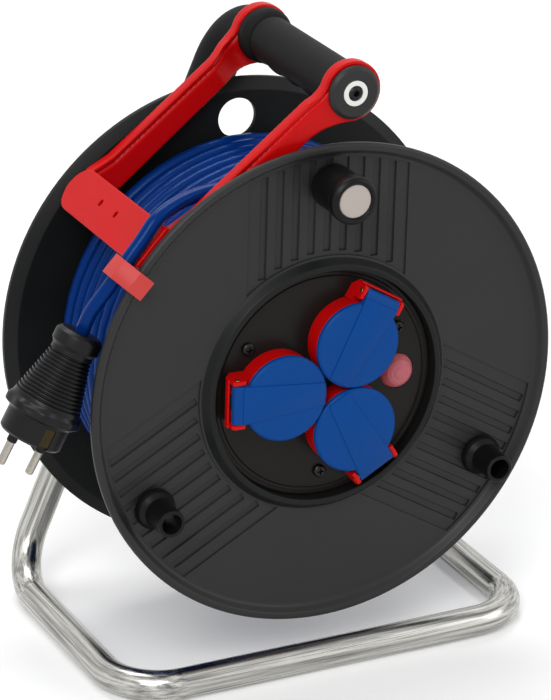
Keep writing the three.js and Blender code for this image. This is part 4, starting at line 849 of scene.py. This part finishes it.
def bent_tube(name, corners, bends, radius, sides=32, steps=12):
    """Extrudes a circle along the straight runs and spins it round the bends."""
    corners = [reel_point(*corner) for corner in corners]
    heading = (corners[1] - corners[0]).normalized()
    bpy.ops.object.select_all(action="DESELECT")
    bpy.ops.mesh.primitive_circle_add(vertices=sides, radius=radius * MM, location=corners[0],
                                      rotation=heading.to_track_quat("Z", "Y").to_euler())
    piece = bpy.context.object
    piece.name = piece.data.name = name
    bpy.ops.object.transform_apply(location=True, rotation=True, scale=True)
    bpy.ops.object.mode_set(mode="EDIT")
    bpy.ops.mesh.select_all(action="SELECT")
    here = corners[0]
    along = [0.0]
    for corner, following, bend in zip(corners[1:], corners[2:], bends):
        bend *= MM
        ahead = (following - corner).normalized()
        turn = heading.angle(ahead)
        start = corner - heading * bend * math.tan(turn / 2)
        axis = heading.cross(ahead).normalized()
        bpy.ops.mesh.extrude_region_move(TRANSFORM_OT_translate={"value": start - here})
        along.append(along[-1] + (start - here).length)
        # Without a window the spin turns against its axis.
        bpy.ops.mesh.spin(steps=steps, angle=turn, center=start + axis.cross(heading) * bend,
                          axis=-axis)
        along.extend(along[-1] + bend * turn * (k + 1) / steps for k in range(steps))
        here = corner + ahead * bend * math.tan(turn / 2)
        heading = ahead
    bpy.ops.mesh.extrude_region_move(TRANSFORM_OT_translate={"value": corners[-1] - here})
    along.append(along[-1] + (corners[-1] - here).length)
    bpy.ops.mesh.select_all(action="SELECT")
    bpy.ops.mesh.fill_holes(sides=0)
    leave_edit(merge=0)
    lay = piece.data.attributes.new("lay", "FLOAT_VECTOR", "POINT")
    circle = arc(radius, 0, FULL_TURN, sides)
    for i in range(len(piece.data.vertices)):
        lay.data[i].vector = (*circle[i % sides], along[i // sides] / MM)
    return piece


class REEL_OT_stand(bpy.types.Operator):
    """Bends the zinc plated tube of the stand and the grip bar"""

    bl_idname = "reel.stand"
    bl_label = "Stand"

    def execute(self, context):
        corners = [(GRIP_X, 9.3, GRIP_HEIGHT), (GRIP_X, STAND_REAR, GRIP_HEIGHT),
                   (-BASE_HALF, STAND_REAR, FLOOR_BAR), (-BASE_HALF, STAND_FRONT, FLOOR_BAR),
                   (BASE_HALF, STAND_FRONT, FLOOR_BAR), (BASE_HALF, STAND_REAR, FLOOR_BAR),
                   (-leg_x(SHORT_LEG_TOP), STAND_REAR, SHORT_LEG_TOP)]
        tube = bent_tube("stand_tube", corners, [TOP_BEND] + [BASE_BEND] * 4,
                         sizes().tube_radius / MM, 40, 14)
        # The tube's finish paints dark reflections into its streaks.
        finished(tube, "frame", "zinc_tube", "zinc_plating", "frame_tube", degrees=40)
        return {"FINISHED"}


def cross_screw(name, corners, centre, face, depth, width):
    """A turned screw with a cross slot from its face. The depth is negative in a head facing back."""
    x, z = centre
    half = width / 2
    low, high = sorted((face, face + depth))
    screw = turned(name, corners, 32, centre)
    flat = box("slot_a", (x - half, low, z - 0.55), (x + half, high, z + 0.55))
    upright = box("slot_b", (x - 0.55, low, z - half), (x + 0.55, high, z + half))
    return cut(screw, combined(flat, upright, "UNION"))


def leg_bore(side, top):
    corners = [(side * -leg_x(z), STAND_REAR, z) for z in (-64, top)]
    return bent_tube("leg_bore", corners, [], 9.3, 40)


def bracket_half(name, front, back, is_cover):
    """One half of the bracket that is clamped round both legs and holds the axle."""
    low = -leg_x(-32) + 21
    high = low - 20
    outline = [(-low, -32, 14), (low, -32, 14), (high, 32, 14), (-high, 32, 14)]
    piece = slab(name + "_form", outline, front, back, 6)
    softened(piece, 1.6, 3)
    cutters = [leg_bore(-1, 60), leg_bore(1, SHORT_LEG_TOP + 0.3), rod("axle_bore", 10.3, 149, 183, 40)]
    bore = [(0, 154), (2.8, 154), (2.8, 178), (5.3, 178), (5.3, 183), (0, 183)]
    cutters += [turned("screw_bore", bore, 24, (side * BRACKET_SCREW, 0)) for side in SIDES]
    if is_cover:
        cutters.append(turned("nut_seat", [(0, 174), (18, 174), (18.6, 183), (0, 183)], 40))
        for side in SIDES:
            recess = [(45, -22), (68, -22), (60, 18), (45, 18)]
            cutters.append(slab("lightening", [(side * x, z, 4) for x, z in recess], 180.6, 183))
    for cutter in cutters:
        cut(piece, cutter)
    return finished(piece, "frame", "black_plastic", "moulded_polypropylene", name)


class REEL_OT_bearing(bpy.types.Operator):
    """Makes the clamped bearing bracket at the back, its screws and the axle's nut"""

    bl_idname = "reel.bearing"
    bl_label = "Bearing Bracket"

    def execute(self, context):
        bracket_half("bearing_bracket", 150, STAND_REAR - 0.15, False)
        bracket_half("bracket_cover", STAND_REAR + 0.15, 182, True)
        profile = [(0, 154.3), (2.5, 154.3), (2.5, 178.3), (5, 178.3, 0.3), (5, 180.2, 0.6), (3.9, 181),
                   (0, 181)]
        for i, side in enumerate(SIDES, 1):
            screw = cross_screw("bracket_screw_form", profile, (side * BRACKET_SCREW, 0), 181.2, -2.2, 5.4)
            finished(screw, "frame", "dark_steel", "blackened_steel", f"bracket_screw_{i}")
        nut = slab("axle_nut_form", arc(16, 0, FULL_TURN, 6)[:-1], 174.3, 181)
        softened(nut, 0.7, 2)
        cut(nut, rod("nut_bore", 8.3, 170, 185, 40))
        finished(nut, "frame", "zinc_tube", "zinc_steel", "axle_nut")
        dressed("zinc_steel", "axle")
        dressed("blackened_steel", "axle_clip")
        return {"FINISHED"}


# ---- Grip ----

GRIP_FRONT, GRIP_BACK = 16.8, 126.2
COLLAR_FRONT = 119.2
FINGER_PITCH = 22
SLEEVE_FRONT = 134.6
SLEEVE_DROP = 46  # how far the sleeve reaches down the leg


def grip_form():
    """The grip along its bar, with four finger swells below and a collar at its back."""
    s = sizes()
    radius, swell = s.grip_radius / MM, s.finger_wave / MM
    rows = 72
    end = COLLAR_FRONT - 3
    line = [(9.4, 9), (12, 9), (12, GRIP_FRONT)]
    for i in range(rows + 1):
        step_in = 0.8 if i in (0, rows) else 0
        line.append((radius - step_in, GRIP_FRONT + (end - GRIP_FRONT) * i / rows))
    line += [(radius, COLLAR_FRONT - 2.9), (15.6, COLLAR_FRONT, 1), (16.5, COLLAR_FRONT + 2, 1.5),
             (16.5, GRIP_BACK, 0.8), (12, GRIP_BACK), (12, 134.3), (9.4, 134.3)]
    grip = turned("grip_form", line, 48, (GRIP_X, GRIP_HEIGHT))
    axis = reel_point(GRIP_X, 0, GRIP_HEIGHT)
    for vertex in grip.data.vertices:
        x, y, z = (vertex.co - axis) / MM
        reach = math.hypot(x, z)
        if reach > radius - 1 and GRIP_FRONT < y < end + 0.5 and z < 0:
            wave = (1 - math.cos(FULL_TURN * (y - GRIP_FRONT) / FINGER_PITCH)) / 2
            below = min(1, -z / reach * 1.2)
            ends = min(1, (y - GRIP_FRONT) / 6, (end + 0.5 - y) / 6)
            vertex.co.z = axis.z + z * (1 + swell * wave * below * ends / radius) * MM
    return grip


def bend_tube(name, front, drop, radius):
    """A tube round the stand's rear bend, from the grip bar down the leg."""
    low = GRIP_HEIGHT - drop
    corners = [(GRIP_X, front, GRIP_HEIGHT), (GRIP_X, STAND_REAR, GRIP_HEIGHT),
               (leg_x(low), STAND_REAR, low)]
    return bent_tube(name, corners, [TOP_BEND], radius, 48, 16)


class REEL_OT_grip(bpy.types.Operator):
    """Makes the rubber grip with its finger swells, the bend sleeve and the end cap with its screw"""

    bl_idname = "reel.grip"
    bl_label = "Grip"

    def execute(self, context):
        centre = (GRIP_X, GRIP_HEIGHT)
        finished(grip_form(), "frame", "black_rubber", "grip_rubber", "grip", degrees=50)
        sleeve = bend_tube("bend_sleeve_form", SLEEVE_FRONT, SLEEVE_DROP, 13.5)
        softened(sleeve, 1.4, 3, 60)
        cut(sleeve, bend_tube("sleeve_bore", SLEEVE_FRONT - 4.6, SLEEVE_DROP + 8, 9.35))
        finished(sleeve, "frame", "black_plastic", "grip_rubber", "bend_sleeve", degrees=40)
        cap = turned("grip_cap_form", [
            (2.3, 6.2), (7.7, 6.2), (7.7, 5.2, 0.2), (13.4, 5.2, 1.2), (15.5, 6.9, 1.0), (15.5, 8.7, 0.2),
            (6.9, 8.7), (6.9, 23.7), (2.3, 23.7)], 64, centre)
        finished(cap, "frame", "black_plastic", "moulded_polypropylene", "grip_cap")
        washer = turned("cap_washer_form", [(4.5, 5.2, 0.2), (7.4, 5.1, 0.4), (7.4, 5.9), (4.5, 5.9)], 48,
                        centre)
        finished(washer, "frame", "white_plastic", "white_nylon", "cap_washer")
        screw = turned("cap_screw_form", [
            (0, 4.8), (3.2, 4.8, 0.8), (4.2, 5.6, 0.3), (4.2, 5.9), (2, 5.9), (2, 22.7), (0, 22.7)], 32,
            centre)
        points = zip(arc(1.6, 0, FULL_TURN, 12, centre), arc(2.3, 0, FULL_TURN, 12, centre))
        star = [pair[k % 2] for k, pair in enumerate(points)][:-1]
        cut(screw, slab("star_recess", star, 4.4, 7.4))
        finished(screw, "frame", "dark_steel", "blackened_steel", "cap_screw")
        return {"FINISHED"}


# ---- Cable guide ----

GUIDE_TURN = 136.75
GUIDE_SURFACE = 143.4
GUIDE_RING = 17.6
RING_SETBACK = 8  # the far ring lies behind its arm by this
NECK_REACH = 38  # from the grip's axis to where an arm's neck ends
ARM_THICKNESS = 7.5
ARM_FRONTS = (9, 118.5)
PLATE_HALF, PLATE_END = 14, 112.6
PLATE_HOLES = (83, 62)
CLIP_TOP = 154.9
CLIP_SPAN = (14.3, 26.9)


def guide_point(across, out):
    """X and Z of a point given across and out from the drum's axis at the guide's plate."""
    x, z = around(out, GUIDE_TURN)
    dx, dz = around(across, GUIDE_TURN + 90)
    return Vector((x + dx, z + dz))


def arm_outline(lip=0.0):
    """The guide's arm, from its ring to under its plate. The lip draws the outer edge in."""
    ring = GUIDE_RING - lip
    drop = Vector((lip * 0.61, -lip * 0.79))
    centre = Vector((GRIP_X, GRIP_HEIGHT))
    under = GUIDE_SURFACE - 3

    def bow_on(line, control, end, steps=8):
        return line + bow(line[-1], control, end, steps)[1:]

    line = arc(ring, -math.pi / 2, math.radians(165), 39, centre)
    line = bow_on(line, centre + Vector((-20.5, -0.6)) + drop, centre + Vector((-27, -3.3)) + drop)
    line.append(tuple(guide_point(-26.6, GUIDE_SURFACE - 7.9) + drop))
    line = bow_on(line, guide_point(-19, GUIDE_SURFACE - 5.4) + drop, guide_point(-13.5, under - lip))
    line.append(tuple(guide_point(5 - lip, under - lip)))
    line = bow_on(line, guide_point(13.6 - lip, under - lip), guide_point(13 - lip, under - 8), 6)
    line += [tuple(guide_point(-16, GUIDE_SURFACE - 25)), tuple(centre + Vector((-28, -25.7)))]
    return bow_on(line, centre + Vector((-17.9, -GUIDE_RING)), centre + Vector((0, -ring)))[:-1]


def across_plate(y, across, out):
    """A place over the guide's plate, in metres."""
    x, z = guide_point(across, out)
    return reel_point(x, y, z)


def plate_piece(name, outline, low, high):
    """An outline of (y, across) made solid from one height over the drum's axis to another."""
    rise = across_plate(0, 0, high) - across_plate(0, 0, low)
    return plated(name, [across_plate(y, across, low) for y, across in outline], rise)


def set_back(guide):
    """Draws the far arm's ring back behind the grip's collar, and the neck with it."""
    axis = reel_point(GRIP_X, MIDDLE, GRIP_HEIGHT)
    for vertex in guide.data.vertices:
        reach = math.hypot(vertex.co.x - axis.x, vertex.co.z - axis.z) / MM
        share = min(max((NECK_REACH - reach) / (NECK_REACH - GUIDE_RING - 1), 0), 1)
        if vertex.co.y > axis.y:
            vertex.co.y += RING_SETBACK * MM * share * share * (3 - 2 * share)


def guide_frame():
    """Two arms, grooved along their outer edges, and the rounded plate, melted into one moulding."""
    guide = None
    for front in ARM_FRONTS:
        arm = slab("guide_arm", arm_outline(), front, front + ARM_THICKNESS)
        cut(arm, slab("arm_groove", arm_outline(2.6), front - 2, front + 1.4))
        combined(arm, slab("arm_web", arm_outline(4.4), front, front + 2), "UNION")
        guide = combined(guide, arm, "UNION") if guide else arm
    round_end = arc(PLATE_HALF, -math.pi / 2, math.pi / 2, 24, (PLATE_END, 0))
    outline = [(9.2, 13), (9.2, -13), (10.4, -PLATE_HALF), *round_end, (10.4, PLATE_HALF)]
    combined(guide, plate_piece("guide_plate", outline, GUIDE_SURFACE - 4, GUIDE_SURFACE), "UNION")
    apply_modifier(guide, "REMESH", mode="VOXEL", voxel_size=0.75 * MM)
    set_back(guide)
    apply_modifier(guide, "SMOOTH", factor=0.5, iterations=6)
    bore = [(0, 4), (14, 4), (13.3, 9.1), (12.5, 9.9), (12.5, 133.1), (13.3, 133.9), (14, 140), (0, 140)]
    cut(guide, turned("ring_bore", bore, 64, (GRIP_X, GRIP_HEIGHT)))
    circle = arc(1, 0, FULL_TURN, 24)[:-1]
    for middle in PLATE_HOLES:
        oval = [(middle + 1.7 * along, 2.25 * across - 2) for along, across in circle]
        cut(guide, plate_piece("plate_hole", oval, 136, 146))
    return guide


class REEL_OT_cable_guide(bpy.types.Operator):
    """Makes the red hinged cable guide and the paler clip beside its plate"""

    bl_idname = "reel.cable_guide"
    bl_label = "Cable Guide"

    def execute(self, context):
        finished(guide_frame(), "guide", "red_plastic", "gloss_abs", "cable_guide", degrees=45)
        top = CLIP_TOP
        line = eased([
            (-4.5, 135.5), (-2.5, 135.5), (-2.5, 145.7, 1), (4.8, top - 2, 1), (14.5, top - 2, 1),
            (17.5, top - 5, 1), (17.5, 139.4), (19.5, 139.4, 0.4), (19.5, top - 4.2, 0.8),
            (15.3, top, 0.8), (4, top, 0.8), (-4.5, top - 8.5, 0.8)])
        near, far = CLIP_SPAN
        width = across_plate(0, far, 0) - across_plate(0, near, 0)
        clip = plated("guide_clip_form", [across_plate(y, near, out) for y, out in line], width)
        softened(clip, 0.6, 2)
        finished(clip, "guide", "pale_red_plastic", "clip_polyamide", "guide_clip")
        return {"FINISHED"}


# ---- Drum ----

THIRD = FULL_TURN / 3
BAND_HALF = 50
BAND_INNER = 77.5
ROOT_INSET = 24.5  # the knob and the posts stand this far in from the drum's edge
SCREW_CIRCLE = 64


def band_cutters(radius, step, width, depth):
    """Cutters for the three ribbed bands: a shallow step and nine grooves in each."""
    outer = radius - 8.5
    foot = math.sqrt(BAND_INNER ** 2 - BAND_HALF ** 2) + 3
    start = math.acos(-BAND_HALF / outer)
    band = [(-BAND_HALF, foot), *arc(outer, start, math.pi - start, 24), (BAND_HALF, foot),
            *arc(BAND_INNER, math.radians(50), math.radians(130), 20)]
    floor = 5 + step
    half = width / 2
    wall = [(half + 0.3, floor - 0.1), (half, floor + 0.3), (half - 0.2, floor + depth)]
    cutters = []
    for sector in range(3):
        turn = round_axle(sector * THIRD)
        cutters.append(moved(slab("band_step", band, 3, floor), turn))
        for x in range(-40, 41, 10):
            low = math.sqrt(max(79.0 ** 2 - (abs(x) + half) ** 2, 0)) + 1.2
            high = math.sqrt((radius - 9.5) ** 2 - (abs(x) + half) ** 2)
            section = [(x - a, y) for a, y in wall] + [(x + a, y) for a, y in reversed(wall)]
            cutters.append(moved(side_piece("rib_groove", section, low, high), turn))
    return cutters


class REEL_OT_front_flange(bpy.types.Operator):
    """Turns the drum's front flange and cuts its ribbed bands"""

    bl_idname = "reel.front_flange"
    bl_label = "Front Flange"

    def execute(self, context):
        s = sizes()
        radius = s.drum_radius / MM
        flange = turned("front_flange_form", [
            (69.5, 0, 0.9), (72.9, 0, 1.6), (76.4, 5, 2.2), (radius - 7.4, 5, 4),
            (radius - 4.2, 0.2, 1.8), (radius - 1.3, 0, 1.3), (radius, 1.4, 1.2), (radius, 3.4, 0.8),
            (radius - 6.5, 8, 2), (72.8, 8), (72.8, 13), (62.3, 13), (62.3, 10.3), (69.5, 10.3)], 160)
        cutters = band_cutters(radius, s.band_step / MM, s.groove_width / MM, s.groove_depth / MM)
        # The steps go first, then the grooves in their floors.
        for group in (cutters[0::10], [c for i, c in enumerate(cutters) if i % 10]):
            cut(flange, *group)
        for i, bore in enumerate((4.3, 9.1, 9.1)):
            cut(flange, rod("root_bore", bore, -2, 12, 40, around(radius - ROOT_INSET, 90 + 120 * i)))
        moved(flange, DRUM_POSE)
        finished(flange, "drum", "black_plastic", "moulded_polypropylene", "front_flange", degrees=28)
        # Painted shade: the faces inside 76.6 mm, the lip and the pan's wall round the socket plate, get
        # the blacker finish for the shade of that recess.
        flange.data.materials.append(finish("moulded_rear"))
        for face in flange.data.polygons:
            if math.hypot(face.center.x, face.center.z - AXLE.z) < 76.6 * MM:
                face.material_index = 1
        return {"FINISHED"}


def rear_rib():
    """A rib of the rear flange that falls towards its outer end."""
    rib = box("rear_rib", (-1.2, 130, 22), (1.2, 134.2, 100))
    knee = reel_point(0, 132, 90)
    for vertex in rib.data.vertices:
        if vertex.co.z > knee.z and vertex.co.y > knee.y:
            vertex.co.y = reel_point(0, 131.4, 0).y
    return rib


class REEL_OT_rear_flange(bpy.types.Operator):
    """Turns the rear flange with its sleeve, ribs and lifting hole"""

    bl_idname = "reel.rear_flange"
    bl_label = "Rear Flange"

    def execute(self, context):
        radius = sizes().drum_radius / MM
        flange = turned("rear_flange_form", [
            (12.3, 70.2), (16, 70.2, 0.5), (16, 124, 1), (20, 128, 1), (69.8, 128), (69.8, 120),
            (72.8, 120), (72.8, 128), (radius - 7, 128, 2), (radius, 131.6, 0.8), (radius, 134.8, 1.2),
            (radius - 1.3, 136.2, 1.2), (radius - 4.2, 136.2, 1.8), (radius - 7, 131, 3), (24, 131, 1),
            (19, 136.2, 1), (12.3, 136.2)], 160)
        for i in range(9):
            combined(flange, moved(rear_rib(), round_axle((i + 0.5) * FULL_TURN / 9)), "UNION")
        hole = [(0, 121), (12.1, 121), (12.1, 126.6), (12, 129.5), (12.1, 132.4), (12.1, 145), (0, 145)]
        cut(flange, turned("lifting_hole", hole, 64, (0, radius - 23.5)))
        centres = [around(SCREW_CIRCLE, 90 + 120 * i) for i in range(3)]
        for centre in centres:
            cut(flange, rod("flange_screw_bore", 2.3, 118, 140, 24, centre))
        moved(flange, DRUM_POSE)
        # The whole rear flange gets the blacker finish, painted shade.
        finished(flange, "drum", "black_plastic", "moulded_rear", "rear_flange")
        profile = [(0, 115.7), (2, 115.7), (2, 131.3), (4.2, 131.3), (4.2, 132.6, 0.6), (3, 133.6),
                   (0, 133.6)]
        for i, centre in enumerate(centres, 1):
            screw = moved(cross_screw("flange_screw_form", profile, centre, 133.8, -1.8, 4.4), DRUM_POSE)
            finished(screw, "drum", "dark_steel", "blackened_steel", f"flange_screw_{i}")
        dressed("moulded_polypropylene", "hub_barrel")
        dressed("white_nylon", "bearing_bush")
        return {"FINISHED"}


class REEL_OT_posts(bpy.types.Operator):
    """Turns the two hollow posts on the drum's face"""

    bl_idname = "reel.posts"
    bl_label = "Posts"

    def execute(self, context):
        radius = sizes().post_radius / MM
        place = sizes().drum_radius / MM - ROOT_INSET
        post = turned("post_form", [
            (6, -20, 0.3), (radius - 0.2, -20, 0.7), (radius, -18.8, 0.4), (radius + 0.5, -2.6, 2),
            (11.2, 0.4, 1), (12, 2.2, 0.6), (12, 5), (8.8, 5), (8.8, 8), (6, 8)], 48)
        for name, degrees in (("post_left", 210), ("post_right", 330)):
            piece = copied(post, name + "_form", drum_spoke(place, degrees))
            finished(piece, "drum", "black_plastic", "moulded_knob", name)
        discard(post)
        return {"FINISHED"}


class REEL_OT_knob(bpy.types.Operator):
    """Turns the winding knob and its silver disc"""

    bl_idname = "reel.knob"
    bl_label = "Winding Knob"

    def execute(self, context):
        radius = sizes().knob_radius / MM
        pose = drum_spoke(sizes().drum_radius / MM - ROOT_INSET, 90)
        knob = turned("crank_knob_form", [
            (4.3, 4.5), (radius - 2, 4.5, 0.6), (radius - 1.1, 2, 1), (radius - 1.2, -18.4, 1),
            (radius, -21.6, 1), (radius, -26, 1.6), (radius - 2, -28, 1.2), (10.6, -28, 0.5),
            (10.0, -27.2), (10.0, -25.6), (7.3, -25.6), (7.3, -18), (4.3, -18)], 72)
        finished(moved(knob, pose), "knob", "black_plastic", "moulded_knob", "crank_knob")
        disc = turned("knob_disc_form", [
            (0, -27.5), (8.9, -27.4, 1), (9.7, -26.9, 0.3), (9.7, -25.9), (0, -25.9)], 64)
        finished(moved(disc, pose), "knob", "silver_disc", "printed_disc", "knob_disc")
        dressed("zinc_steel", "knob_spindle")
        return {"FINISHED"}


# ---- Sockets ----

SOCKET_CIRCLE = 29.8
SOCKET_ANGLES = (180, 60, -60)
PLATE_SCREW_CIRCLE = 54.7
PLATE_SCREW_ANGLES = (150, 270, 30)
BUTTON_PLACE = (48, 0)
WELL_RADIUS = 19.7
HINGE_X, HINGE_Y = 29.3, -5.3
HINGE_HALF = 14.6
TAB_HALF = 11.5


def socket_pose(degrees):
    """Places a piece made on the drum's axis, with the hinge towards +X, on its socket."""
    return drum_spoke(SOCKET_CIRCLE, degrees) @ round_axle(-math.radians(degrees))


class REEL_OT_socket_plate(bpy.types.Operator):
    """Makes the dark plate that carries the sockets, and its screws"""

    bl_idname = "reel.socket_plate"
    bl_label = "Socket Plate"

    def execute(self, context):
        plate = turned("socket_plate_form", [
            (0, 7), (64.2, 7, 0.3), (64.8, 7.7, 0.3), (66.4, 7.7, 0.3), (67, 7, 0.3), (69.1, 7, 0.4),
            (69.1, 10), (0, 10)], 128)
        centres = [around(PLATE_SCREW_CIRCLE, degrees) for degrees in PLATE_SCREW_ANGLES]
        cutters = [rod("socket_bore", 23.8, 4, 14, 64, around(SOCKET_CIRCLE, a)) for a in SOCKET_ANGLES]
        cutters += [rod("screw_bore", 2.2, 4, 14, 20, centre) for centre in centres]
        cutters.append(rod("button_bore", 10.7, 4, 14, 48, BUTTON_PLACE))
        for cutter in cutters:
            cut(plate, cutter)
        finished(moved(plate, DRUM_POSE), "drum", "black_plastic", "moulded_plate", "socket_plate")
        profile = [(0, 4.5), (3.0, 4.5, 0.8), (3.8, 5.4, 0.3), (3.8, 6.7), (1.6, 6.7), (1.6, 22), (0, 22)]
        for i, centre in enumerate(centres, 1):
            screw = moved(cross_screw("plate_screw_form", profile, centre, 4.2, 1.8, 4), DRUM_POSE)
            finished(screw, "drum", "dark_steel", "blackened_steel", f"plate_screw_{i}")
        return {"FINISHED"}


def on_hinge(name, corners, sides=20):
    """Spins corners of radius and place along the pin round the lid's hinge."""
    pose = (Matrix.Translation(reel_point(HINGE_X, HINGE_Y, 0)) @ Matrix.Rotation(math.pi / 2, 4, "X")
            @ Matrix.Translation(-reel_point(0, 0, 0)))
    return moved(turned(name, corners, sides), pose)


def hinge_rod(name, radius, half, sides=20):
    return on_hinge(name, [(0, -half), (radius, -half), (radius, half), (0, half)], sides)


def socket_form():
    """A socket: the round housing with its well, and the hinge's base and ears."""
    body = turned("socket_form", [
        (0, 12), (WELL_RADIUS, 12), (WELL_RADIUS, -5.5, 0.3), (23.9, -5.5, 0.9), (24.8, -4.4, 0.5),
        (24.8, 6.7), (23.5, 6.7), (23.5, 15), (0, 15)], 72)
    base = [(20.8, 6.7), (29.4, 6.7, 0.5), (34, 0.4, 0.8), (34, -3.2, 0.4), (33, -3.2), (33, 0), (20.8, 0)]
    combined(body, side_piece("hinge_base", base, -HINGE_HALF, HINGE_HALF), "UNION")
    ear = [(24.2, -7), (25.2, -8.3), (31.4, -8.3), (32.9, -6.8), (32.9, 3), (24.2, 3)]
    for low in (-HINGE_HALF, 12):
        piece = side_piece("hinge_ear", ear, low, low + HINGE_HALF - 12)
        combined(body, softened(piece, 0.5, 2), "UNION")
    cut(body, rod("well", WELL_RADIUS, -12, 12, 72))
    cut(body, hinge_rod("pin_bore", 1.5, 22))
    for side, low in ((-1, -19.6), (1, 17.4)):
        cut(body, rod("contact_bore", 2.9, 10, 18, 24, (side * PIN_SIDE, 0)))
        cut(body, box("earth_bore", (-3.3, 10, low), (3.3, 18, low + 2.2)))
    return body


def lid_form(radius):
    """A lid: the round cover, the tab that folds down to the hinge and the raised panel along both."""
    lid = turned("lid_form", [
        (0, -6), (radius, -6, 0.2), (radius, -8.1, 1.2), (radius - 1.3, -9.3, 1), (0, -9.3)], 96)
    fold = radius + 1.5
    tab = [(17, -6.02), (17, -9.28), (fold, -9.28, 1), (30.4, -8.15, 0.6), (30.4, -6.02)]
    combined(lid, side_piece("lid_tab", tab, -TAB_HALF, TAB_HALF), "UNION")
    combined(lid, hinge_rod("lid_knuckle", 3, TAB_HALF, 32), "UNION")
    tip = 1.5 - radius
    panel = slab("lid_panel", [(tip, -6.8), (fold, -TAB_HALF), (fold, TAB_HALF), (tip, 6.8)], -9.9, -8)
    combined(lid, softened(panel, 0.35, 2), "UNION")
    return cut(lid, hinge_rod("lid_pin_bore", 1.5, 15))


class REEL_OT_sockets(bpy.types.Operator):
    """Makes the three sockets with their blue lids, hinge pins and contacts"""

    bl_idname = "reel.sockets"
    bl_label = "Sockets and Lids"

    def execute(self, context):
        socket = socket_form()
        lid = lid_form(sizes().lid_radius / MM)
        pin = on_hinge("lid_pin_form", [(0, -14.7), (1.3, -14.7, 0.3), (1.3, 14.7, 0.3), (0, 14.7)])
        for i, degrees in enumerate(SOCKET_ANGLES, 1):
            for part, name, body, slot, look in (
                    (socket, f"socket_{i}", "drum", "red_plastic", "gloss_abs"),
                    (lid, f"lid_{i}", f"lid_{i}", "blue_plastic", "lid_polyamide"),
                    (pin, f"lid_pin_{i}", "drum", "brass", "spring_brass")):
                finished(copied(part, name + "_form", socket_pose(degrees)), body, slot, look, name)
            dressed("spring_brass", f"earth_clip_{i}")
            dressed("blackened_steel", f"lid_spring_{i}")
        discard(socket, lid, pin)
        dressed("spring_brass", "live_bar", "neutral_bar")
        return {"FINISHED"}


class REEL_OT_button(bpy.types.Operator):
    """Makes the thermal button's soft cap over its switch"""

    bl_idname = "reel.button"
    bl_label = "Thermal Button"

    def execute(self, context):
        radius = sizes().button_radius / MM
        cap = turned("thermal_button_form", [
            (0, 1.7), (2.6, 1.6, 1), (4.4, 2.6, 0.8), (5.2, 2.3, 0.6), (7.6, 3.3, 2), (9.7, 5.8, 1),
            (radius, 7.4, 0.5), (radius, 9), (2.5, 9), (2.5, 17), (0, 17)], 64, BUTTON_PLACE)
        finished(moved(cap, DRUM_POSE), "thermal_button", "pink_rubber", "button_silicone",
                 "thermal_button")
        dressed("white_nylon", "thermal_switch")
        return {"FINISHED"}


# ---- Panel and registration ----

STEPS = (
    REEL_OT_camera, REEL_OT_plug, REEL_OT_free_lead, REEL_OT_cable_turns, REEL_OT_stand,
    REEL_OT_bearing, REEL_OT_grip, REEL_OT_cable_guide, REEL_OT_front_flange, REEL_OT_rear_flange,
    REEL_OT_posts, REEL_OT_knob, REEL_OT_socket_plate, REEL_OT_sockets, REEL_OT_button, REEL_OT_stage,
)


class REEL_PT_panel(bpy.types.Panel):
    """Lists the reel's sizes, colours and steps"""

    bl_idname = "REEL_PT_panel"
    bl_label = "Extension Cord Reel"
    bl_space_type = "VIEW_3D"
    bl_region_type = "UI"
    bl_category = "Cord Reel"

    def draw(self, context):
        layout = self.layout
        for title, group in (("Sizes", context.scene.reel_sizes), ("Colours", context.scene.reel_colours)):
            column = layout.column(align=True)
            column.label(text=title)
            for name in group.__annotations__:
                column.prop(group, name)
        column = layout.column(align=True)
        for step in STEPS:
            column.operator(step.bl_idname)


CLASSES = (ReelSizes, ReelColours, *STEPS, REEL_PT_panel)


def register():
    for kind in CLASSES:
        bpy.utils.register_class(kind)
    bpy.types.Scene.reel_sizes = PointerProperty(type=ReelSizes)
    bpy.types.Scene.reel_colours = PointerProperty(type=ReelColours)


def unregister():
    del bpy.types.Scene.reel_colours
    del bpy.types.Scene.reel_sizes
    for kind in reversed(CLASSES):
        bpy.utils.unregister_class(kind)


def main():
    register()
    for step in STEPS:
        group, name = step.bl_idname.split(".")
        getattr(getattr(bpy.ops, group), name)()


if __name__ == "__main__":
    main()
